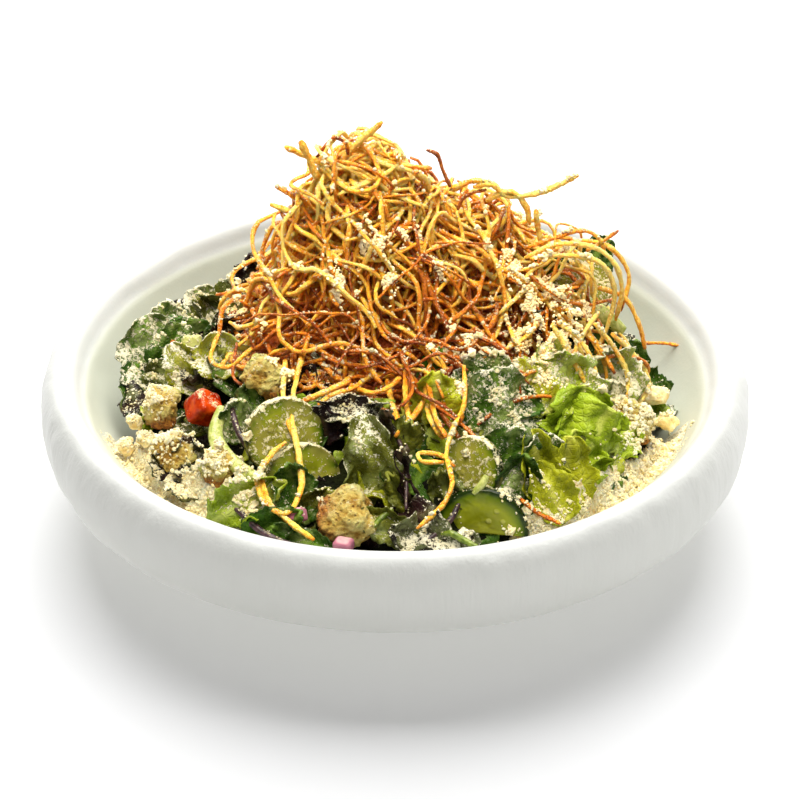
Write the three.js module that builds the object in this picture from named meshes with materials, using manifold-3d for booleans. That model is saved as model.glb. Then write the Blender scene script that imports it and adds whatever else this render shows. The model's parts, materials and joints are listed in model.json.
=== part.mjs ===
// A dressed mixed salad in a round stoneware bowl, heaped with crisp fried potato straws.
// Millimetres, +Z up. The origin is the centre of the bowl's foot, on the table.
import * as THREE from 'three';
import { mergeVertices } from 'three/addons/utils/BufferGeometryUtils.js';
import Module from 'manifold-3d';

const wasm = await Module();
wasm.setup();

// --- Driving dimensions -------------------------------------------------------------------
const gap = 0.3;                      // clearance between pieces that touch

const bowlRadius = 140;               // outside of the rolled rim
const rimHalfWidth = 9.1;             // the rim's section is an upright ellipse
const rimHalfHeight = 17.4;
const rimMiddle = 42.5;               // height of the middle of that ellipse
const rimArc = { from: 216, to: 486, step: 18 };      // the part of the ellipse that shows, in degrees
const creaseRadius = 122.7;           // where the rim meets the well
const creaseHeight = 53.9;
const wellFloor = 9.5;                // inside bottom of the bowl
const wellPower = 4;                  // how late the well's wall turns up
const wallThickness = 7;
const footInner = 64;
const footOuter = 72;
const footRecess = 3;                 // how far the base inside the foot ring stands up
const undersideRadii = [76, 86, 96, 106, 116];
const bowlSegments = 52;

const bedReach = 108;                 // middle radius of the heap of leaves
const bedLean = 9;                    // the heap lies this much towards the front
const bedCrown = 80;                  // height of the heap under the straws
const bedEdge = 6;                    // thickness of the leaves at the heap's edge
const bedPower = 2.8;                 // how late the heap falls away from its crown
const bedRipples = [                  // waves round its outline
  { count: 5, height: 1.4, phase: 0.6 },
  { count: 9, height: 1, phase: 2 },
];
const bedWaves = { height: 1.6, x: 11, y: 13, phaseX: 0.8, phaseY: 2.1 };
const bedFineWaves = { height: 1, x: 5.3, y: 7.1 };

const moundCentre = { x: 16, y: 6 };  // the straws' outline is an ellipse about this point
const moundReach = { x: 82, y: 66 };
const moundEdge = 5;                  // thickness of the straws along their outline
const moundPower = 6;                 // how late the hills fade towards the outline
const moundRipples = [
  { count: 4, height: 2.6, phase: 1.1 },
  { count: 7, height: 1.8, phase: 2.5 },
];
const moundWaves = { height: 2.2, x: 6, y: 7, phaseX: 1, phaseY: 0.4 };
const moundPeaks = [                  // smooth hills that add up to the heap's shape
  { x: -13, y: 14, height: 71, spreadX: 30, spreadY: 32 },
  { x: 30, y: 10, height: 24, spreadX: 22, spreadY: 30 },
  { x: 72, y: 8, height: 48, spreadX: 20, spreadY: 28 },
];

const sliceThickness = 4.6;           // cucumber
const sliceRound = 0.9;               // rounding of its skin edge
const sliceSegments = 20;

// --- Colours and finishes -----------------------------------------------------------------
const finishes = {
  stoneware: { color: 0xf4f4ec, roughness: 0.5, metalness: 0 },
  leaf: { color: 0x5d7a2c, roughness: 0.5, metalness: 0 },
  straw: { color: 0xc98b3a, roughness: 0.45, metalness: 0 },
  cucumber: { color: 0x93a445, roughness: 0.35, metalness: 0 },
  tomato: { color: 0xb0401c, roughness: 0.3, metalness: 0 },
  crouton: { color: 0xcbb065, roughness: 0.8, metalness: 0 },
  cheese: { color: 0xe8cf78, roughness: 0.6, metalness: 0 },
  onion: { color: 0xa05878, roughness: 0.4, metalness: 0 },
};

// --- Where the larger pieces lie ----------------------------------------------------------
// yaw turns a slice's face from the front (-Y) towards +X, tilt lifts it towards the sky.
const cucumberSlices = [
  { at: [-42, -70, 71], radius: 15.5, yaw: 16, tilt: 24 },
  { at: [-35, -80.1, 57.6], radius: 15, yaw: 16, tilt: 24 },
  { at: [32, -101, 48.5], radius: 18, yaw: -6, tilt: 16, half: true },
  { at: [28.6, -83, 64.5], radius: 13, yaw: -34, tilt: 26 },
  { at: [73, 15.5, 85], radius: 13, yaw: 12, tilt: 38 },
];
const cucumberChunks = [
  { at: [-80, 4, 65], size: [8.5, 8, 12], turn: [0.2, 0.35, 0.3] },
];
const tomatoPieces = [
  { at: [-73, -44, 67.3], size: [17, 15, 16], turn: [0.3, 0.1, 0.4] },
];
const croutons = [
  { at: [-18.5, -104, 57.6], size: [24, 22, 26], turn: [0.2, 0.4, 0.1] },
  { at: [-90, -35, 62], size: [14, 15, 19], turn: [0.5, 0.1, 0.7] },
  { at: [-84, -62, 58], size: [22, 18, 17], turn: [0.1, 0.6, 0.2] },
  { at: [-66, -78, 61.5], size: [14, 15, 17], turn: [0.4, 0.2, 0.5] },
  { at: [-50, -40, 78.5], size: [22, 18, 19], turn: [0.6, 0.3, 0.2] },
  { at: [91, -38, 56], size: [20, 19, 22], turn: [0.2, 0.2, 0.9] },
];
const cheeseLumps = [
  { at: [-101, -36, 54.4], size: [7.5, 6.5, 6.5], turn: [0.2, 0.5, 0.1] },
  { at: [-104, -43.5, 48.5], size: [7, 8, 7.5], turn: [0.7, 0.1, 0.3] },
  { at: [-96, -48.5, 55.2], size: [7.5, 7, 6.5], turn: [0.1, 0.2, 0.6] },
  { at: [106.5, -22, 46.2], size: [11.5, 9, 8], turn: [0.2, 0.1, 0.2] },
  { at: [102.5, -11, 51.5], size: [12, 8.5, 7.5], turn: [0.1, 0.3, 0.5] },
];
const onionPieces = [
  { at: [-19, -116.6, 53.6], size: [7.5, 3, 5.5], turn: [0.3, 0.1, 0.1] },
  { at: [-37, -102.5, 57.5], size: [8, 3, 4], turn: [0.2, 0.4, 0.5] },
];

// --- Small helpers ------------------------------------------------------------------------
const radians = THREE.MathUtils.degToRad;
const weldDistance = 1e-4;

function weld(geometry) {
  const bare = geometry.clone();
  bare.deleteAttribute('normal');
  bare.deleteAttribute('uv');
  return mergeVertices(bare, weldDistance);
}

function toSolid(geometry) {
  const welded = weld(geometry);
  return new wasm.Manifold(new wasm.Mesh({
    numProp: 3,
    vertProperties: new Float32Array(welded.attributes.position.array),
    triVerts: new Uint32Array(welded.index.array),
  }));
}

function toGeometry(solid) {
  const mesh = solid.getMesh();
  const geometry = new THREE.BufferGeometry();
  geometry.setAttribute('position', new THREE.BufferAttribute(new Float32Array(mesh.vertProperties), 3));
  geometry.setIndex(new THREE.BufferAttribute(new Uint32Array(mesh.triVerts), 1));
  return geometry;
}

// Cuts grown copies of the pieces out of a heap and keeps the largest body that is left.
function cutAround(geometry, cutters) {
  const cut = cutters.reduce((solid, cutter) => solid.subtract(toSolid(cutter)), toSolid(geometry));
  const bodies = cut.decompose().sort((a, b) => b.volume() - a.volume());
  return toGeometry(bodies[0]);
}

function named(name, geometry, finish) {
  const mesh = new THREE.Mesh(geometry, new THREE.MeshStandardMaterial(finishes[finish]));
  mesh.name = name;
  return mesh;
}

// --- The bowl -----------------------------------------------------------------------------
const wellRadii = [creaseRadius, 117, 110, 102, 92, 78, 58, 0];

function wellHeight(radius) {
  return wellFloor + (creaseHeight - wellFloor) * Math.pow(radius / creaseRadius, wellPower);
}

function wellSlope(radius) {
  const rise = creaseHeight - wellFloor;
  return wellPower * rise / creaseRadius * Math.pow(radius / creaseRadius, wellPower - 1);
}

// The profile runs from the axis below the base, round the foot, the underside and the
// rolled rim, over the crease and down the well to the axis again.
function bowlProfile() {
  const rimCentre = bowlRadius - rimHalfWidth;
  const points = [[0, footRecess], [footInner - footRecess, footRecess], [footInner, 0], [footOuter, 0]];
  for (const radius of undersideRadii) {
    const drop = wallThickness * Math.hypot(1, wellSlope(radius));
    points.push([radius, wellHeight(radius) - drop]);
  }
  for (let degrees = rimArc.from; degrees <= rimArc.to; degrees += rimArc.step) {
    const angle = radians(degrees);
    points.push([
      rimCentre + rimHalfWidth * Math.cos(angle),
      rimMiddle + rimHalfHeight * Math.sin(angle),
    ]);
  }
  return [...points, ...wellRadii.map((radius) => [radius, wellHeight(radius)])];
}

function turned(profile) {
  const points = profile.map(([radius, height]) => new THREE.Vector2(radius, height));
  const geometry = new THREE.LatheGeometry(points, bowlSegments);
  geometry.rotateX(Math.PI / 2);
  return weld(geometry);
}

// Everything below the well's surface, grown by the gap: what lies in the bowl is cut with it.
function underWell() {
  const surface = wellRadii.map((radius) => {
    const lift = gap * Math.hypot(1, wellSlope(radius));
    return [radius, wellHeight(radius) + lift];
  });
  const below = -wallThickness;
  return turned([[0, below], [bowlRadius, below], [bowlRadius, surface[0][1]], ...surface]);
}

// --- Heaps --------------------------------------------------------------------------------
// A closed solid between two height functions inside a star-shaped outline.
function heapGeometry({ centre, reach, top, bottom, rings, sectors }) {
  const positions = [];
  const indices = [];
  const point = (radius, angle, height) => {
    const x = centre.x + radius * Math.cos(angle);
    const y = centre.y + radius * Math.sin(angle);
    positions.push(x, y, height(x, y));
  };
  const shell = (height, flip) => {
    const first = positions.length / 3;
    point(0, 0, height);
    for (let ring = 1; ring <= rings; ring += 1) {
      for (let sector = 0; sector < sectors; sector += 1) {
        const angle = 2 * Math.PI * sector / sectors;
        point(reach(angle) * ring / rings, angle, height);
      }
    }
    const at = (ring, sector) => first + 1 + (ring - 1) * sectors + sector % sectors;
    const face = (a, b, c) => (flip ? indices.push(a, c, b) : indices.push(a, b, c));
    for (let sector = 0; sector < sectors; sector += 1) {
      face(first, at(1, sector), at(1, sector + 1));
      for (let ring = 1; ring < rings; ring += 1) {
        face(at(ring, sector), at(ring + 1, sector), at(ring + 1, sector + 1));
        face(at(ring, sector), at(ring + 1, sector + 1), at(ring, sector + 1));
      }
    }
    return (sector) => at(rings, sector);
  };
  const upper = shell(top, false);
  const lower = shell(bottom, true);
  for (let sector = 0; sector < sectors; sector += 1) {
    indices.push(upper(sector), lower(sector), lower(sector + 1));
    indices.push(upper(sector), lower(sector + 1), upper(sector + 1));
  }
  const geometry = new THREE.BufferGeometry();
  geometry.setAttribute('position', new THREE.Float32BufferAttribute(positions, 3));
  geometry.setIndex(indices);
  return geometry;
}

// Waves round an outline, and waves over a surface.
function ripple(ripples, angle) {
  return ripples.reduce((sum, wave) => sum + wave.height * Math.sin(wave.count * angle + wave.phase), 0);
}

function swell(waves, x, y) {
  return waves.height * Math.sin(x / waves.x + waves.phaseX) * Math.sin(y / waves.y + waves.phaseY);
}

function bedOutline(angle) {
  return bedReach - bedLean * Math.sin(angle) + ripple(bedRipples, angle);
}

function bedTop(x, y) {
  const outline = bedOutline(Math.atan2(y, x));
  const fraction = Math.min(1, Math.hypot(x, y) / outline);
  const edge = wellHeight(outline) + bedEdge;
  const fine = bedFineWaves.height * Math.sin(x / bedFineWaves.x + y / bedFineWaves.y);
  return edge + (bedCrown - edge) * (1 - Math.pow(fraction, bedPower)) + swell(bedWaves, x, y) + fine;
}

function bedGeometry(lift = 0) {
  return heapGeometry({
    centre: { x: 0, y: 0 },
    reach: bedOutline,
    top: (x, y) => bedTop(x, y) + lift,
    bottom: (x, y) => wellHeight(Math.hypot(x, y)) - bedEdge,
    rings: 8,
    sectors: 40,
  });
}

function moundOutline(angle) {
  const reach = 1 / Math.hypot(Math.cos(angle) / moundReach.x, Math.sin(angle) / moundReach.y);
  return reach + ripple(moundRipples, angle);
}

function moundTop(x, y) {
  const dx = x - moundCentre.x;
  const dy = y - moundCentre.y;
  const fraction = Math.hypot(dx, dy) / moundOutline(Math.atan2(dy, dx));
  const rise = moundPeaks.reduce((sum, peak) => {
    const across = (x - peak.x) / peak.spreadX;
    const along = (y - peak.y) / peak.spreadY;
    return sum + peak.height * Math.exp(-(across * across + along * along) / 2);
  }, 0);
  const fade = 1 - Math.pow(Math.min(1, fraction), moundPower);
  return bedTop(x, y) + moundEdge + (rise + swell(moundWaves, x, y)) * fade;
}

function moundGeometry() {
  return heapGeometry({
    centre: moundCentre,
    reach: moundOutline,
    top: moundTop,
    bottom: (x, y) => bedTop(x, y) - moundEdge,
    rings: 8,
    sectors: 36,
  });
}

// --- Larger pieces ------------------------------------------------------------------------
// Each function takes how much to grow the piece, which is used to cut the heap around it.
function sliceGeometry({ radius, half }, grow = 0) {
  const wide = radius + grow;
  const thick = sliceThickness / 2 + grow;
  const profile = [
    [0, -thick], [wide - sliceRound, -thick], [wide, sliceRound - thick],
    [wide, thick - sliceRound], [wide - sliceRound, thick], [0, thick],
  ].map(([across, along]) => new THREE.Vector2(across, along));
  const disc = new THREE.LatheGeometry(profile, sliceSegments);
  disc.rotateX(Math.PI / 2);
  if (!half) return disc;
  const keep = new THREE.BoxGeometry(3 * wide, 3 * wide, 3 * wide);
  keep.translate(0, 1.5 * wide - grow, 0);
  return toGeometry(toSolid(disc).intersect(toSolid(keep)));
}

// An uneven lump: an icosphere whose radius swells and sinks with its direction.
function lumpGeometry({ size }, { detail, dent }, grow = 0) {
  const geometry = weld(new THREE.IcosahedronGeometry(1, detail));
  const position = geometry.attributes.position;
  const point = new THREE.Vector3();
  const seed = size[0] + 3 * size[1] + 7 * size[2];
  for (let index = 0; index < position.count; index += 1) {
    point.fromBufferAttribute(position, index);
    const swell = 1 + dent * Math.sin(3.1 * point.x + seed) * Math.cos(2.7 * point.y + 2 * point.z + seed);
    point.multiplyScalar(swell);
    position.setXYZ(
      index,
      point.x * (size[0] / 2 + grow),
      point.y * (size[1] / 2 + grow),
      point.z * (size[2] / 2 + grow),
    );
  }
  return geometry;
}

function chipGeometry({ size }, grow = 0) {
  return new THREE.BoxGeometry(size[0] + 2 * grow, size[1] + 2 * grow, size[2] + 2 * grow);
}

function placeSlice(object, { at, yaw, tilt }) {
  object.rotation.order = 'ZXY';
  object.rotation.set(radians(90 - tilt), 0, radians(yaw));
  object.position.set(...at);
}

function placeLump(object, { at, turn }) {
  object.rotation.set(...turn);
  object.position.set(...at);
}

const roughShape = { detail: 1, dent: 0.1 };
const softShape = { detail: 1, dent: 0.05 };

const kinds = [
  { name: 'cucumber_slice', list: cucumberSlices, finish: 'cucumber', place: placeSlice,
    shape: sliceGeometry },
  { name: 'cucumber_chunk', list: cucumberChunks, finish: 'cucumber', place: placeLump,
    shape: (piece, grow) => lumpGeometry(piece, softShape, grow) },
  { name: 'tomato_piece', list: tomatoPieces, finish: 'tomato', place: placeLump,
    shape: (piece, grow) => lumpGeometry(piece, softShape, grow) },
  { name: 'crouton', list: croutons, finish: 'crouton', place: placeLump,
    shape: (piece, grow) => lumpGeometry(piece, roughShape, grow) },
  { name: 'cheese_lump', list: cheeseLumps, finish: 'cheese', place: placeLump,
    shape: (piece, grow) => lumpGeometry(piece, roughShape, grow) },
  { name: 'onion_piece', list: onionPieces, finish: 'onion', place: placeLump,
    shape: chipGeometry },
];

// --- The whole salad ----------------------------------------------------------------------
const salad = new THREE.Group();
salad.add(named('bowl', turned(bowlProfile()), 'stoneware'));

const cutters = [];
for (const kind of kinds) {
  kind.list.forEach((piece, index) => {
    const mesh = named(`${kind.name}_${index + 1}`, kind.shape(piece, 0), kind.finish);
    kind.place(mesh, piece);
    mesh.updateMatrix();
    salad.add(mesh);
    cutters.push(kind.shape(piece, gap).applyMatrix4(mesh.matrix));
  });
}

salad.add(named('salad_bed', cutAround(bedGeometry(), [underWell(), ...cutters]), 'leaf'));
salad.add(named('straw_mound', cutAround(moundGeometry(), [bedGeometry(gap), ...cutters]), 'straw'));

export default salad;
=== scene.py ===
# A dressed green salad under a heap of crisp potato straws, in its white stoneware bowl.
# Sizes are in millimetres and become metres when a mesh is made.
import json
import math
import bpy
import numpy as np
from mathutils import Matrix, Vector
from mathutils.bvhtree import BVHTree

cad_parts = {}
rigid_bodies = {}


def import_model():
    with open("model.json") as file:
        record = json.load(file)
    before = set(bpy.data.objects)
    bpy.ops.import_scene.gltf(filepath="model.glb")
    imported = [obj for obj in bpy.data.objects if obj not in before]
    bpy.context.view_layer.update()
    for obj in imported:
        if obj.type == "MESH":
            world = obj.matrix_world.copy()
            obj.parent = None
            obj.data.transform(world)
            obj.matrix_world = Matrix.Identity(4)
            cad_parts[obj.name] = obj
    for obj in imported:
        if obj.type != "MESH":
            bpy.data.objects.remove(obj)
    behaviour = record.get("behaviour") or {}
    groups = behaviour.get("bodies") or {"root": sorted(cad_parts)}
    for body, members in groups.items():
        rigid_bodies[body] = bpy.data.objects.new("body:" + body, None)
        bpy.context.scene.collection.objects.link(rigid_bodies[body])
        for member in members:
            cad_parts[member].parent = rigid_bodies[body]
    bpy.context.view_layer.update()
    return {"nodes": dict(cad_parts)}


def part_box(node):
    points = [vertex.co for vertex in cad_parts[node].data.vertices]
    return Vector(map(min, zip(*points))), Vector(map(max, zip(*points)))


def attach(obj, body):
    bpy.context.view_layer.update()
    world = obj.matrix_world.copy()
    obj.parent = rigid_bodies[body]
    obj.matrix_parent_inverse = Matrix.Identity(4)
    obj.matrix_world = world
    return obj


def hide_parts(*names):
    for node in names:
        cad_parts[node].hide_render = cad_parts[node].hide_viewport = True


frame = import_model()
cadNodes = frame["nodes"]
mm = 0.001


def latticeNoise(points, cell, seed=0):
    # smooth random field from -1 to 1: random values at the corners of cubes of side cell,
    # blended along each axis with t * t * (3 - 2 t)
    table = np.random.default_rng(seed).uniform(-1, 1, 4096)
    scaled = np.asarray(points, float) / cell + 512.0
    low = np.floor(scaled).astype(np.int64)
    part = scaled - low
    part = part * part * (3 - 2 * part)
    total = np.zeros(scaled.shape[:-1])
    for corner in range(8):
        step = np.array([corner & 1, corner >> 1 & 1, corner >> 2 & 1])
        at = low + step
        index = (at[..., 0] * 73856093 ^ at[..., 1] * 19349663 ^ at[..., 2] * 83492791) & 4095
        total += table[index] * np.prod(np.where(step == 1, part, 1 - part), axis=-1)
    return total


def roughNoise(points, cell, octaves=3, seed=0):
    # sum of lattice noises, each with half the cell and half the height of the last
    return sum(latticeNoise(points, cell / 2 ** k, seed + k) / 2 ** k for k in range(octaves))


def unit(vectors):
    return vectors / np.maximum(np.linalg.norm(vectors, axis=-1, keepdims=True), 1e-9)


def smoothStep(value, low, high):
    part = np.clip((value - low) / (high - low), 0, 1)
    return part * part * (3 - 2 * part)


def facing(yaw, tilt, roll=0):
    # axes of a flat piece as rows (across, along, face): yaw turns its face from the front
    # (-Y) towards +X, tilt lifts it to the sky, roll turns the piece in its own plane
    yaw, tilt, roll = (math.radians(angle) for angle in (yaw, tilt, roll))
    face = np.array([math.sin(yaw) * math.cos(tilt), -math.cos(yaw) * math.cos(tilt), math.sin(tilt)])
    across = np.array([math.cos(yaw), math.sin(yaw), 0])
    along = np.cross(face, across)
    return np.array([
        across * math.cos(roll) + along * math.sin(roll),
        along * math.cos(roll) - across * math.sin(roll),
        face,
    ])


def gridFaces(rows, columns, wrap=False):
    # four-sided faces of a grid of points, numbered row by row; wrap joins last to first column
    shape = (rows - 1, columns if wrap else columns - 1)
    row, column = np.indices(shape)
    following = (column + 1) % columns
    faces = [row * columns + column, row * columns + following,
             (row + 1) * columns + following, (row + 1) * columns + column]
    return np.stack([part.ravel() for part in faces], axis=1)


def cappedFaces(rings, spokes, clockwise=False):
    # faces of rings of points, numbered ring by ring, closed by the two poles that follow them:
    # the first pole joins the first ring, the second the last
    spoke = np.arange(spokes)
    following = (spoke + 1) % spokes
    last = (rings - 1) * spokes
    pole = np.full(spokes, rings * spokes)
    firstFan = np.stack([pole, spoke, following], 1)
    lastFan = np.stack([pole + 1, last + following, last + spoke], 1)
    faceSets = [gridFaces(rings, spokes, True)[:, ::-1], firstFan, lastFan]
    return [faces[:, ::-1] for faces in faceSets] if clockwise else faceSets


def repeated(faceSets, count, points):
    # the same faces for each of count bodies, which have so many points each
    shift = (np.arange(count) * points)[:, None, None]
    return [(faces[None] + shift).reshape(-1, faces.shape[1]) for faces in faceSets]


def sphere(rows, columns):
    # points of a unit sphere: rings from the top down, then the top and the bottom
    polar = np.linspace(0, np.pi, rows + 2)[1:-1, None]
    turn = np.arange(columns) * 2 * np.pi / columns
    rings = [np.sin(polar) * np.cos(turn), np.sin(polar) * np.sin(turn), np.cos(polar) + 0 * turn]
    return np.concatenate([np.stack(rings, -1).reshape(-1, 3), [[0, 0, 1], [0, 0, -1]]])


def searchTree(meshes):
    # one search tree over several meshes, in millimetres
    points, faces, start = [], [], 0
    for mesh in meshes:
        places = np.empty(len(mesh.vertices) * 3, np.float32)
        mesh.vertices.foreach_get("co", places)
        mesh.calc_loop_triangles()
        corners = np.empty(len(mesh.loop_triangles) * 3, np.int32)
        mesh.loop_triangles.foreach_get("vertices", corners)
        points.append(places.reshape(-1, 3) / mm)
        faces.append(corners.reshape(-1, 3) + start)
        start += len(mesh.vertices)
    return BVHTree.FromPolygons(np.concatenate(points).tolist(), np.concatenate(faces).tolist())


def frameBox(name):
    # middle and size of a CAD node, in millimetres
    lowest, highest = (np.array(corner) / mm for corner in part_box(name))
    return (lowest + highest) / 2, highest - lowest


def makePiece(name, points, faceSets, material, marks=None, uv=None, smooth=True):
    # points (n, 3) in millimetres; faceSets is a list of index arrays, each of one face size;
    # marks are named numbers on the points, uv a place on the surface for each point
    mesh = bpy.data.meshes.new(name)
    mesh.vertices.add(len(points))
    mesh.vertices.foreach_set("co", (np.asarray(points) * mm).astype(np.float32).ravel())
    corners = np.concatenate([faces.ravel() for faces in faceSets])
    sizes = np.concatenate([np.full(len(faces), faces.shape[1]) for faces in faceSets])
    mesh.loops.add(len(corners))
    mesh.loops.foreach_set("vertex_index", corners.astype(np.int32))
    mesh.polygons.add(len(sizes))
    mesh.polygons.foreach_set("loop_start", (np.cumsum(sizes) - sizes).astype(np.int32))
    mesh.polygons.foreach_set("use_smooth", np.full(len(sizes), smooth))
    mesh.update(calc_edges=True)
    mesh.validate()
    if uv is not None:
        layer = mesh.uv_layers.new(name="place")
        loopPoints = np.empty(len(mesh.loops), np.int32)
        mesh.loops.foreach_get("vertex_index", loopPoints)
        layer.data.foreach_set("uv", np.asarray(uv)[loopPoints].astype(np.float32).ravel())
    for mark, values in (marks or {}).items():
        attribute = mesh.attributes.new(mark, "FLOAT", "POINT")
        attribute.data.foreach_set("value", np.asarray(values, np.float32))
    mesh.materials.append(material)
    piece = bpy.data.objects.new(name, mesh)
    bpy.context.scene.collection.objects.link(piece)
    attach(piece, "root")
    return piece


class Wire:
    # a socket of one material: arithmetic on it adds Math nodes
    def __init__(self, shader, socket):
        self.shader, self.socket = shader, socket

    def math(self, operation, *others):
        return self.shader.node("ShaderNodeMath", {"operation": operation}, (self, *others))

    def __add__(self, other):
        return self.math("ADD", other)

    def __sub__(self, other):
        return self.math("SUBTRACT", other)

    def __rsub__(self, other):
        return self.shader.node("ShaderNodeMath", {"operation": "SUBTRACT"}, (other, self))

    def __mul__(self, other):
        return self.math("MULTIPLY", other)

    __radd__ = __add__
    __rmul__ = __mul__

    def step(self, low, high):
        # 0 at low, 1 at high, smooth between; low may be the larger
        values = {"Value": self, "From Min": low, "From Max": high}
        return self.shader.node("ShaderNodeMapRange", {"interpolation_type": "SMOOTHSTEP"}, values)


class Shader:
    # one material with a Principled surface; node() makes any node in it
    def __init__(self, name):
        self.material = bpy.data.materials.new(name)
        self.material.use_nodes = True
        self.tree = self.material.node_tree
        self.tree.nodes.clear()

    def node(self, kind, settings=None, values=(), out=0):
        node = self.tree.nodes.new(kind)
        for key, value in (settings or {}).items():
            if key == "stops":
                for index, (place, colour) in enumerate(value):
                    stops = node.color_ramp.elements
                    stop = stops[index] if index < len(stops) else stops.new(place)
                    stop.position, stop.color = place, colour
            else:
                setattr(node, key, value)
        pairs = values.items() if isinstance(values, dict) else enumerate(values)
        for key, value in pairs:
            if isinstance(value, Wire):
                self.tree.links.new(value.socket, node.inputs[key])
            else:
                node.inputs[key].default_value = value
        return Wire(self, node.outputs[out]) if node.outputs else None

    def place(self, scale=(1, 1, 1)):
        # the point on the piece, in metres times scale
        coordinates = self.node("ShaderNodeTexCoord", out="Object")
        return self.node("ShaderNodeMapping", values={"Vector": coordinates, "Scale": scale})

    def mark(self, name):
        return self.node("ShaderNodeAttribute", {"attribute_name": name}, out="Fac")

    def rise(self, vector):
        return self.node("ShaderNodeSeparateXYZ", values=[vector], out=2)

    def upward(self):
        # how far the surface faces the sky, from -1 to 1
        return self.rise(self.node("ShaderNodeNewGeometry", out=1))

    def noise(self, scale, detail=2, roughness=0.5, place=None):
        values = {"Scale": scale, "Detail": detail, "Roughness": roughness, "Vector": place or self.place()}
        return self.node("ShaderNodeTexNoise", values=values)

    def cells(self, scale, out="Distance", place=None, **settings):
        values = {"Scale": scale, "Vector": place or self.place()}
        return self.node("ShaderNodeTexVoronoi", settings, values, out)

    def mix(self, share, first, second):
        return self.node("ShaderNodeMix", {"data_type": "RGBA"}, {0: share, 6: first, 7: second}, 2)

    def ramp(self, value, stops):
        return self.node("ShaderNodeValToRGB", {"stops": stops}, {0: value})

    def bump(self, height, distance, strength=1.0, normal=None):
        values = {"Height": height, "Distance": distance, "Strength": strength}
        if normal:
            values["Normal"] = normal
        return self.node("ShaderNodeBump", values=values)

    def finish(self, **values):
        sockets = {name.replace("_", " "): value for name, value in values.items()}
        surface = self.node("ShaderNodeBsdfPrincipled", values=sockets)
        self.node("ShaderNodeOutputMaterial", values={"Surface": surface})
        return self.material


def srgb(red, green, blue):
    # a colour as screens state it, 0 to 255, in the linear light that shaders use
    share = np.array([red, green, blue]) / 255
    linear = np.where(share <= 0.04045, share / 12.92, ((share + 0.055) / 1.055) ** 2.4)
    return (*linear, 1.0)


bowlBox = np.array(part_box("bowl")) / mm
bowl = dict(
    radius=bowlBox[1, 0],            # outside of the rolled rim
    height=bowlBox[1, 2],
    rimHalfWidth=9.1,                # the rim's section is an upright ellipse
    rimHalfHeight=17.4,
    creaseRadius=122.7,              # where the rim meets the well
    creaseHeight=53.9,
    wellFloor=9.5,
    wellPower=4,
    wall=7,
    footInner=64,
    footOuter=72,
    footRecess=3,
    spacing=1.55,                    # distance between rings of points along the section
    spokes=400,
    groove=1.0,                      # the crease is a shallow groove
    uneven=0.45,                     # how far the rim strays from a true circle
    strokes=0.4,                     # depth of the upright hand marks on the outside
)


def wellHeight(radius):
    # the inside of the bowl: floor + rise * (radius / crease radius) to the well's power
    share = np.minimum(radius, bowl["creaseRadius"]) / bowl["creaseRadius"]
    return bowl["wellFloor"] + (bowl["creaseHeight"] - bowl["wellFloor"]) * share ** bowl["wellPower"]


def bowlSection():
    # outline of a cut through half the bowl: base, foot ring, underside one wall below the
    # well, three quarters of the rim's ellipse, crease, and the well back to the axis
    rise = bowl["creaseHeight"] - bowl["wellFloor"]
    under = np.linspace(bowl["footOuter"] + 4, 116, 24)
    steep = bowl["wellPower"] * rise / bowl["creaseRadius"]
    slope = steep * (under / bowl["creaseRadius"]) ** (bowl["wellPower"] - 1)
    turn = np.radians(np.linspace(216, 488, 60))
    well = np.linspace(bowl["creaseRadius"] - 1, 0, 90)
    base = [[0, bowl["footRecess"]], [bowl["footInner"] - 3, bowl["footRecess"]], [bowl["footInner"], 0.0],
            [bowl["footOuter"], 0.0]]
    rimCentre = bowl["radius"] - bowl["rimHalfWidth"]
    rimMiddle = bowl["height"] - bowl["rimHalfHeight"]
    outline = np.concatenate([
        base,
        np.stack([under, wellHeight(under) - bowl["wall"] * np.hypot(1, slope)], 1),
        np.stack([rimCentre + bowl["rimHalfWidth"] * np.cos(turn),
                  rimMiddle + bowl["rimHalfHeight"] * np.sin(turn)], 1),
        np.stack([well, wellHeight(well)], 1),
    ])
    along = np.concatenate([[0], np.cumsum(np.linalg.norm(np.diff(outline, axis=0), axis=1))])
    even = np.linspace(0, along[-1], int(along[-1] / bowl["spacing"]))
    section = np.stack([np.interp(even, along, outline[:, k]) for k in (0, 1)], 1)
    section[1:-1] = (section[:-2] + 2 * section[1:-1] + section[2:]) / 4
    return section


def stonewareMaterial():
    glaze = Shader("stoneware")
    strokes = glaze.noise(420, 3, 0.6, glaze.place((1, 1, 0.07)))
    grain = glaze.noise(900, 2)
    cloud = glaze.noise(28, 3)
    pits = glaze.cells(150).step(0.05, 0.0) * glaze.noise(60).step(0.62, 0.7)
    colour = glaze.mix(cloud, srgb(236, 237, 229), srgb(243, 243, 237))
    inside = glaze.mark("inside")
    colour = glaze.mix(inside, colour, srgb(220, 221, 200))
    colour = glaze.mix(pits * 0.55, colour, srgb(150, 146, 135))
    bump = glaze.bump(strokes * glaze.mark("outside") + grain * 0.15 - pits, 0.0007, 0.6)
    rough = cloud * 0.15 + 0.38
    return glaze.finish(Base_Color=colour, Roughness=rough, Normal=bump, Coat_Weight=0.12, Coat_Roughness=0.3)


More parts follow.
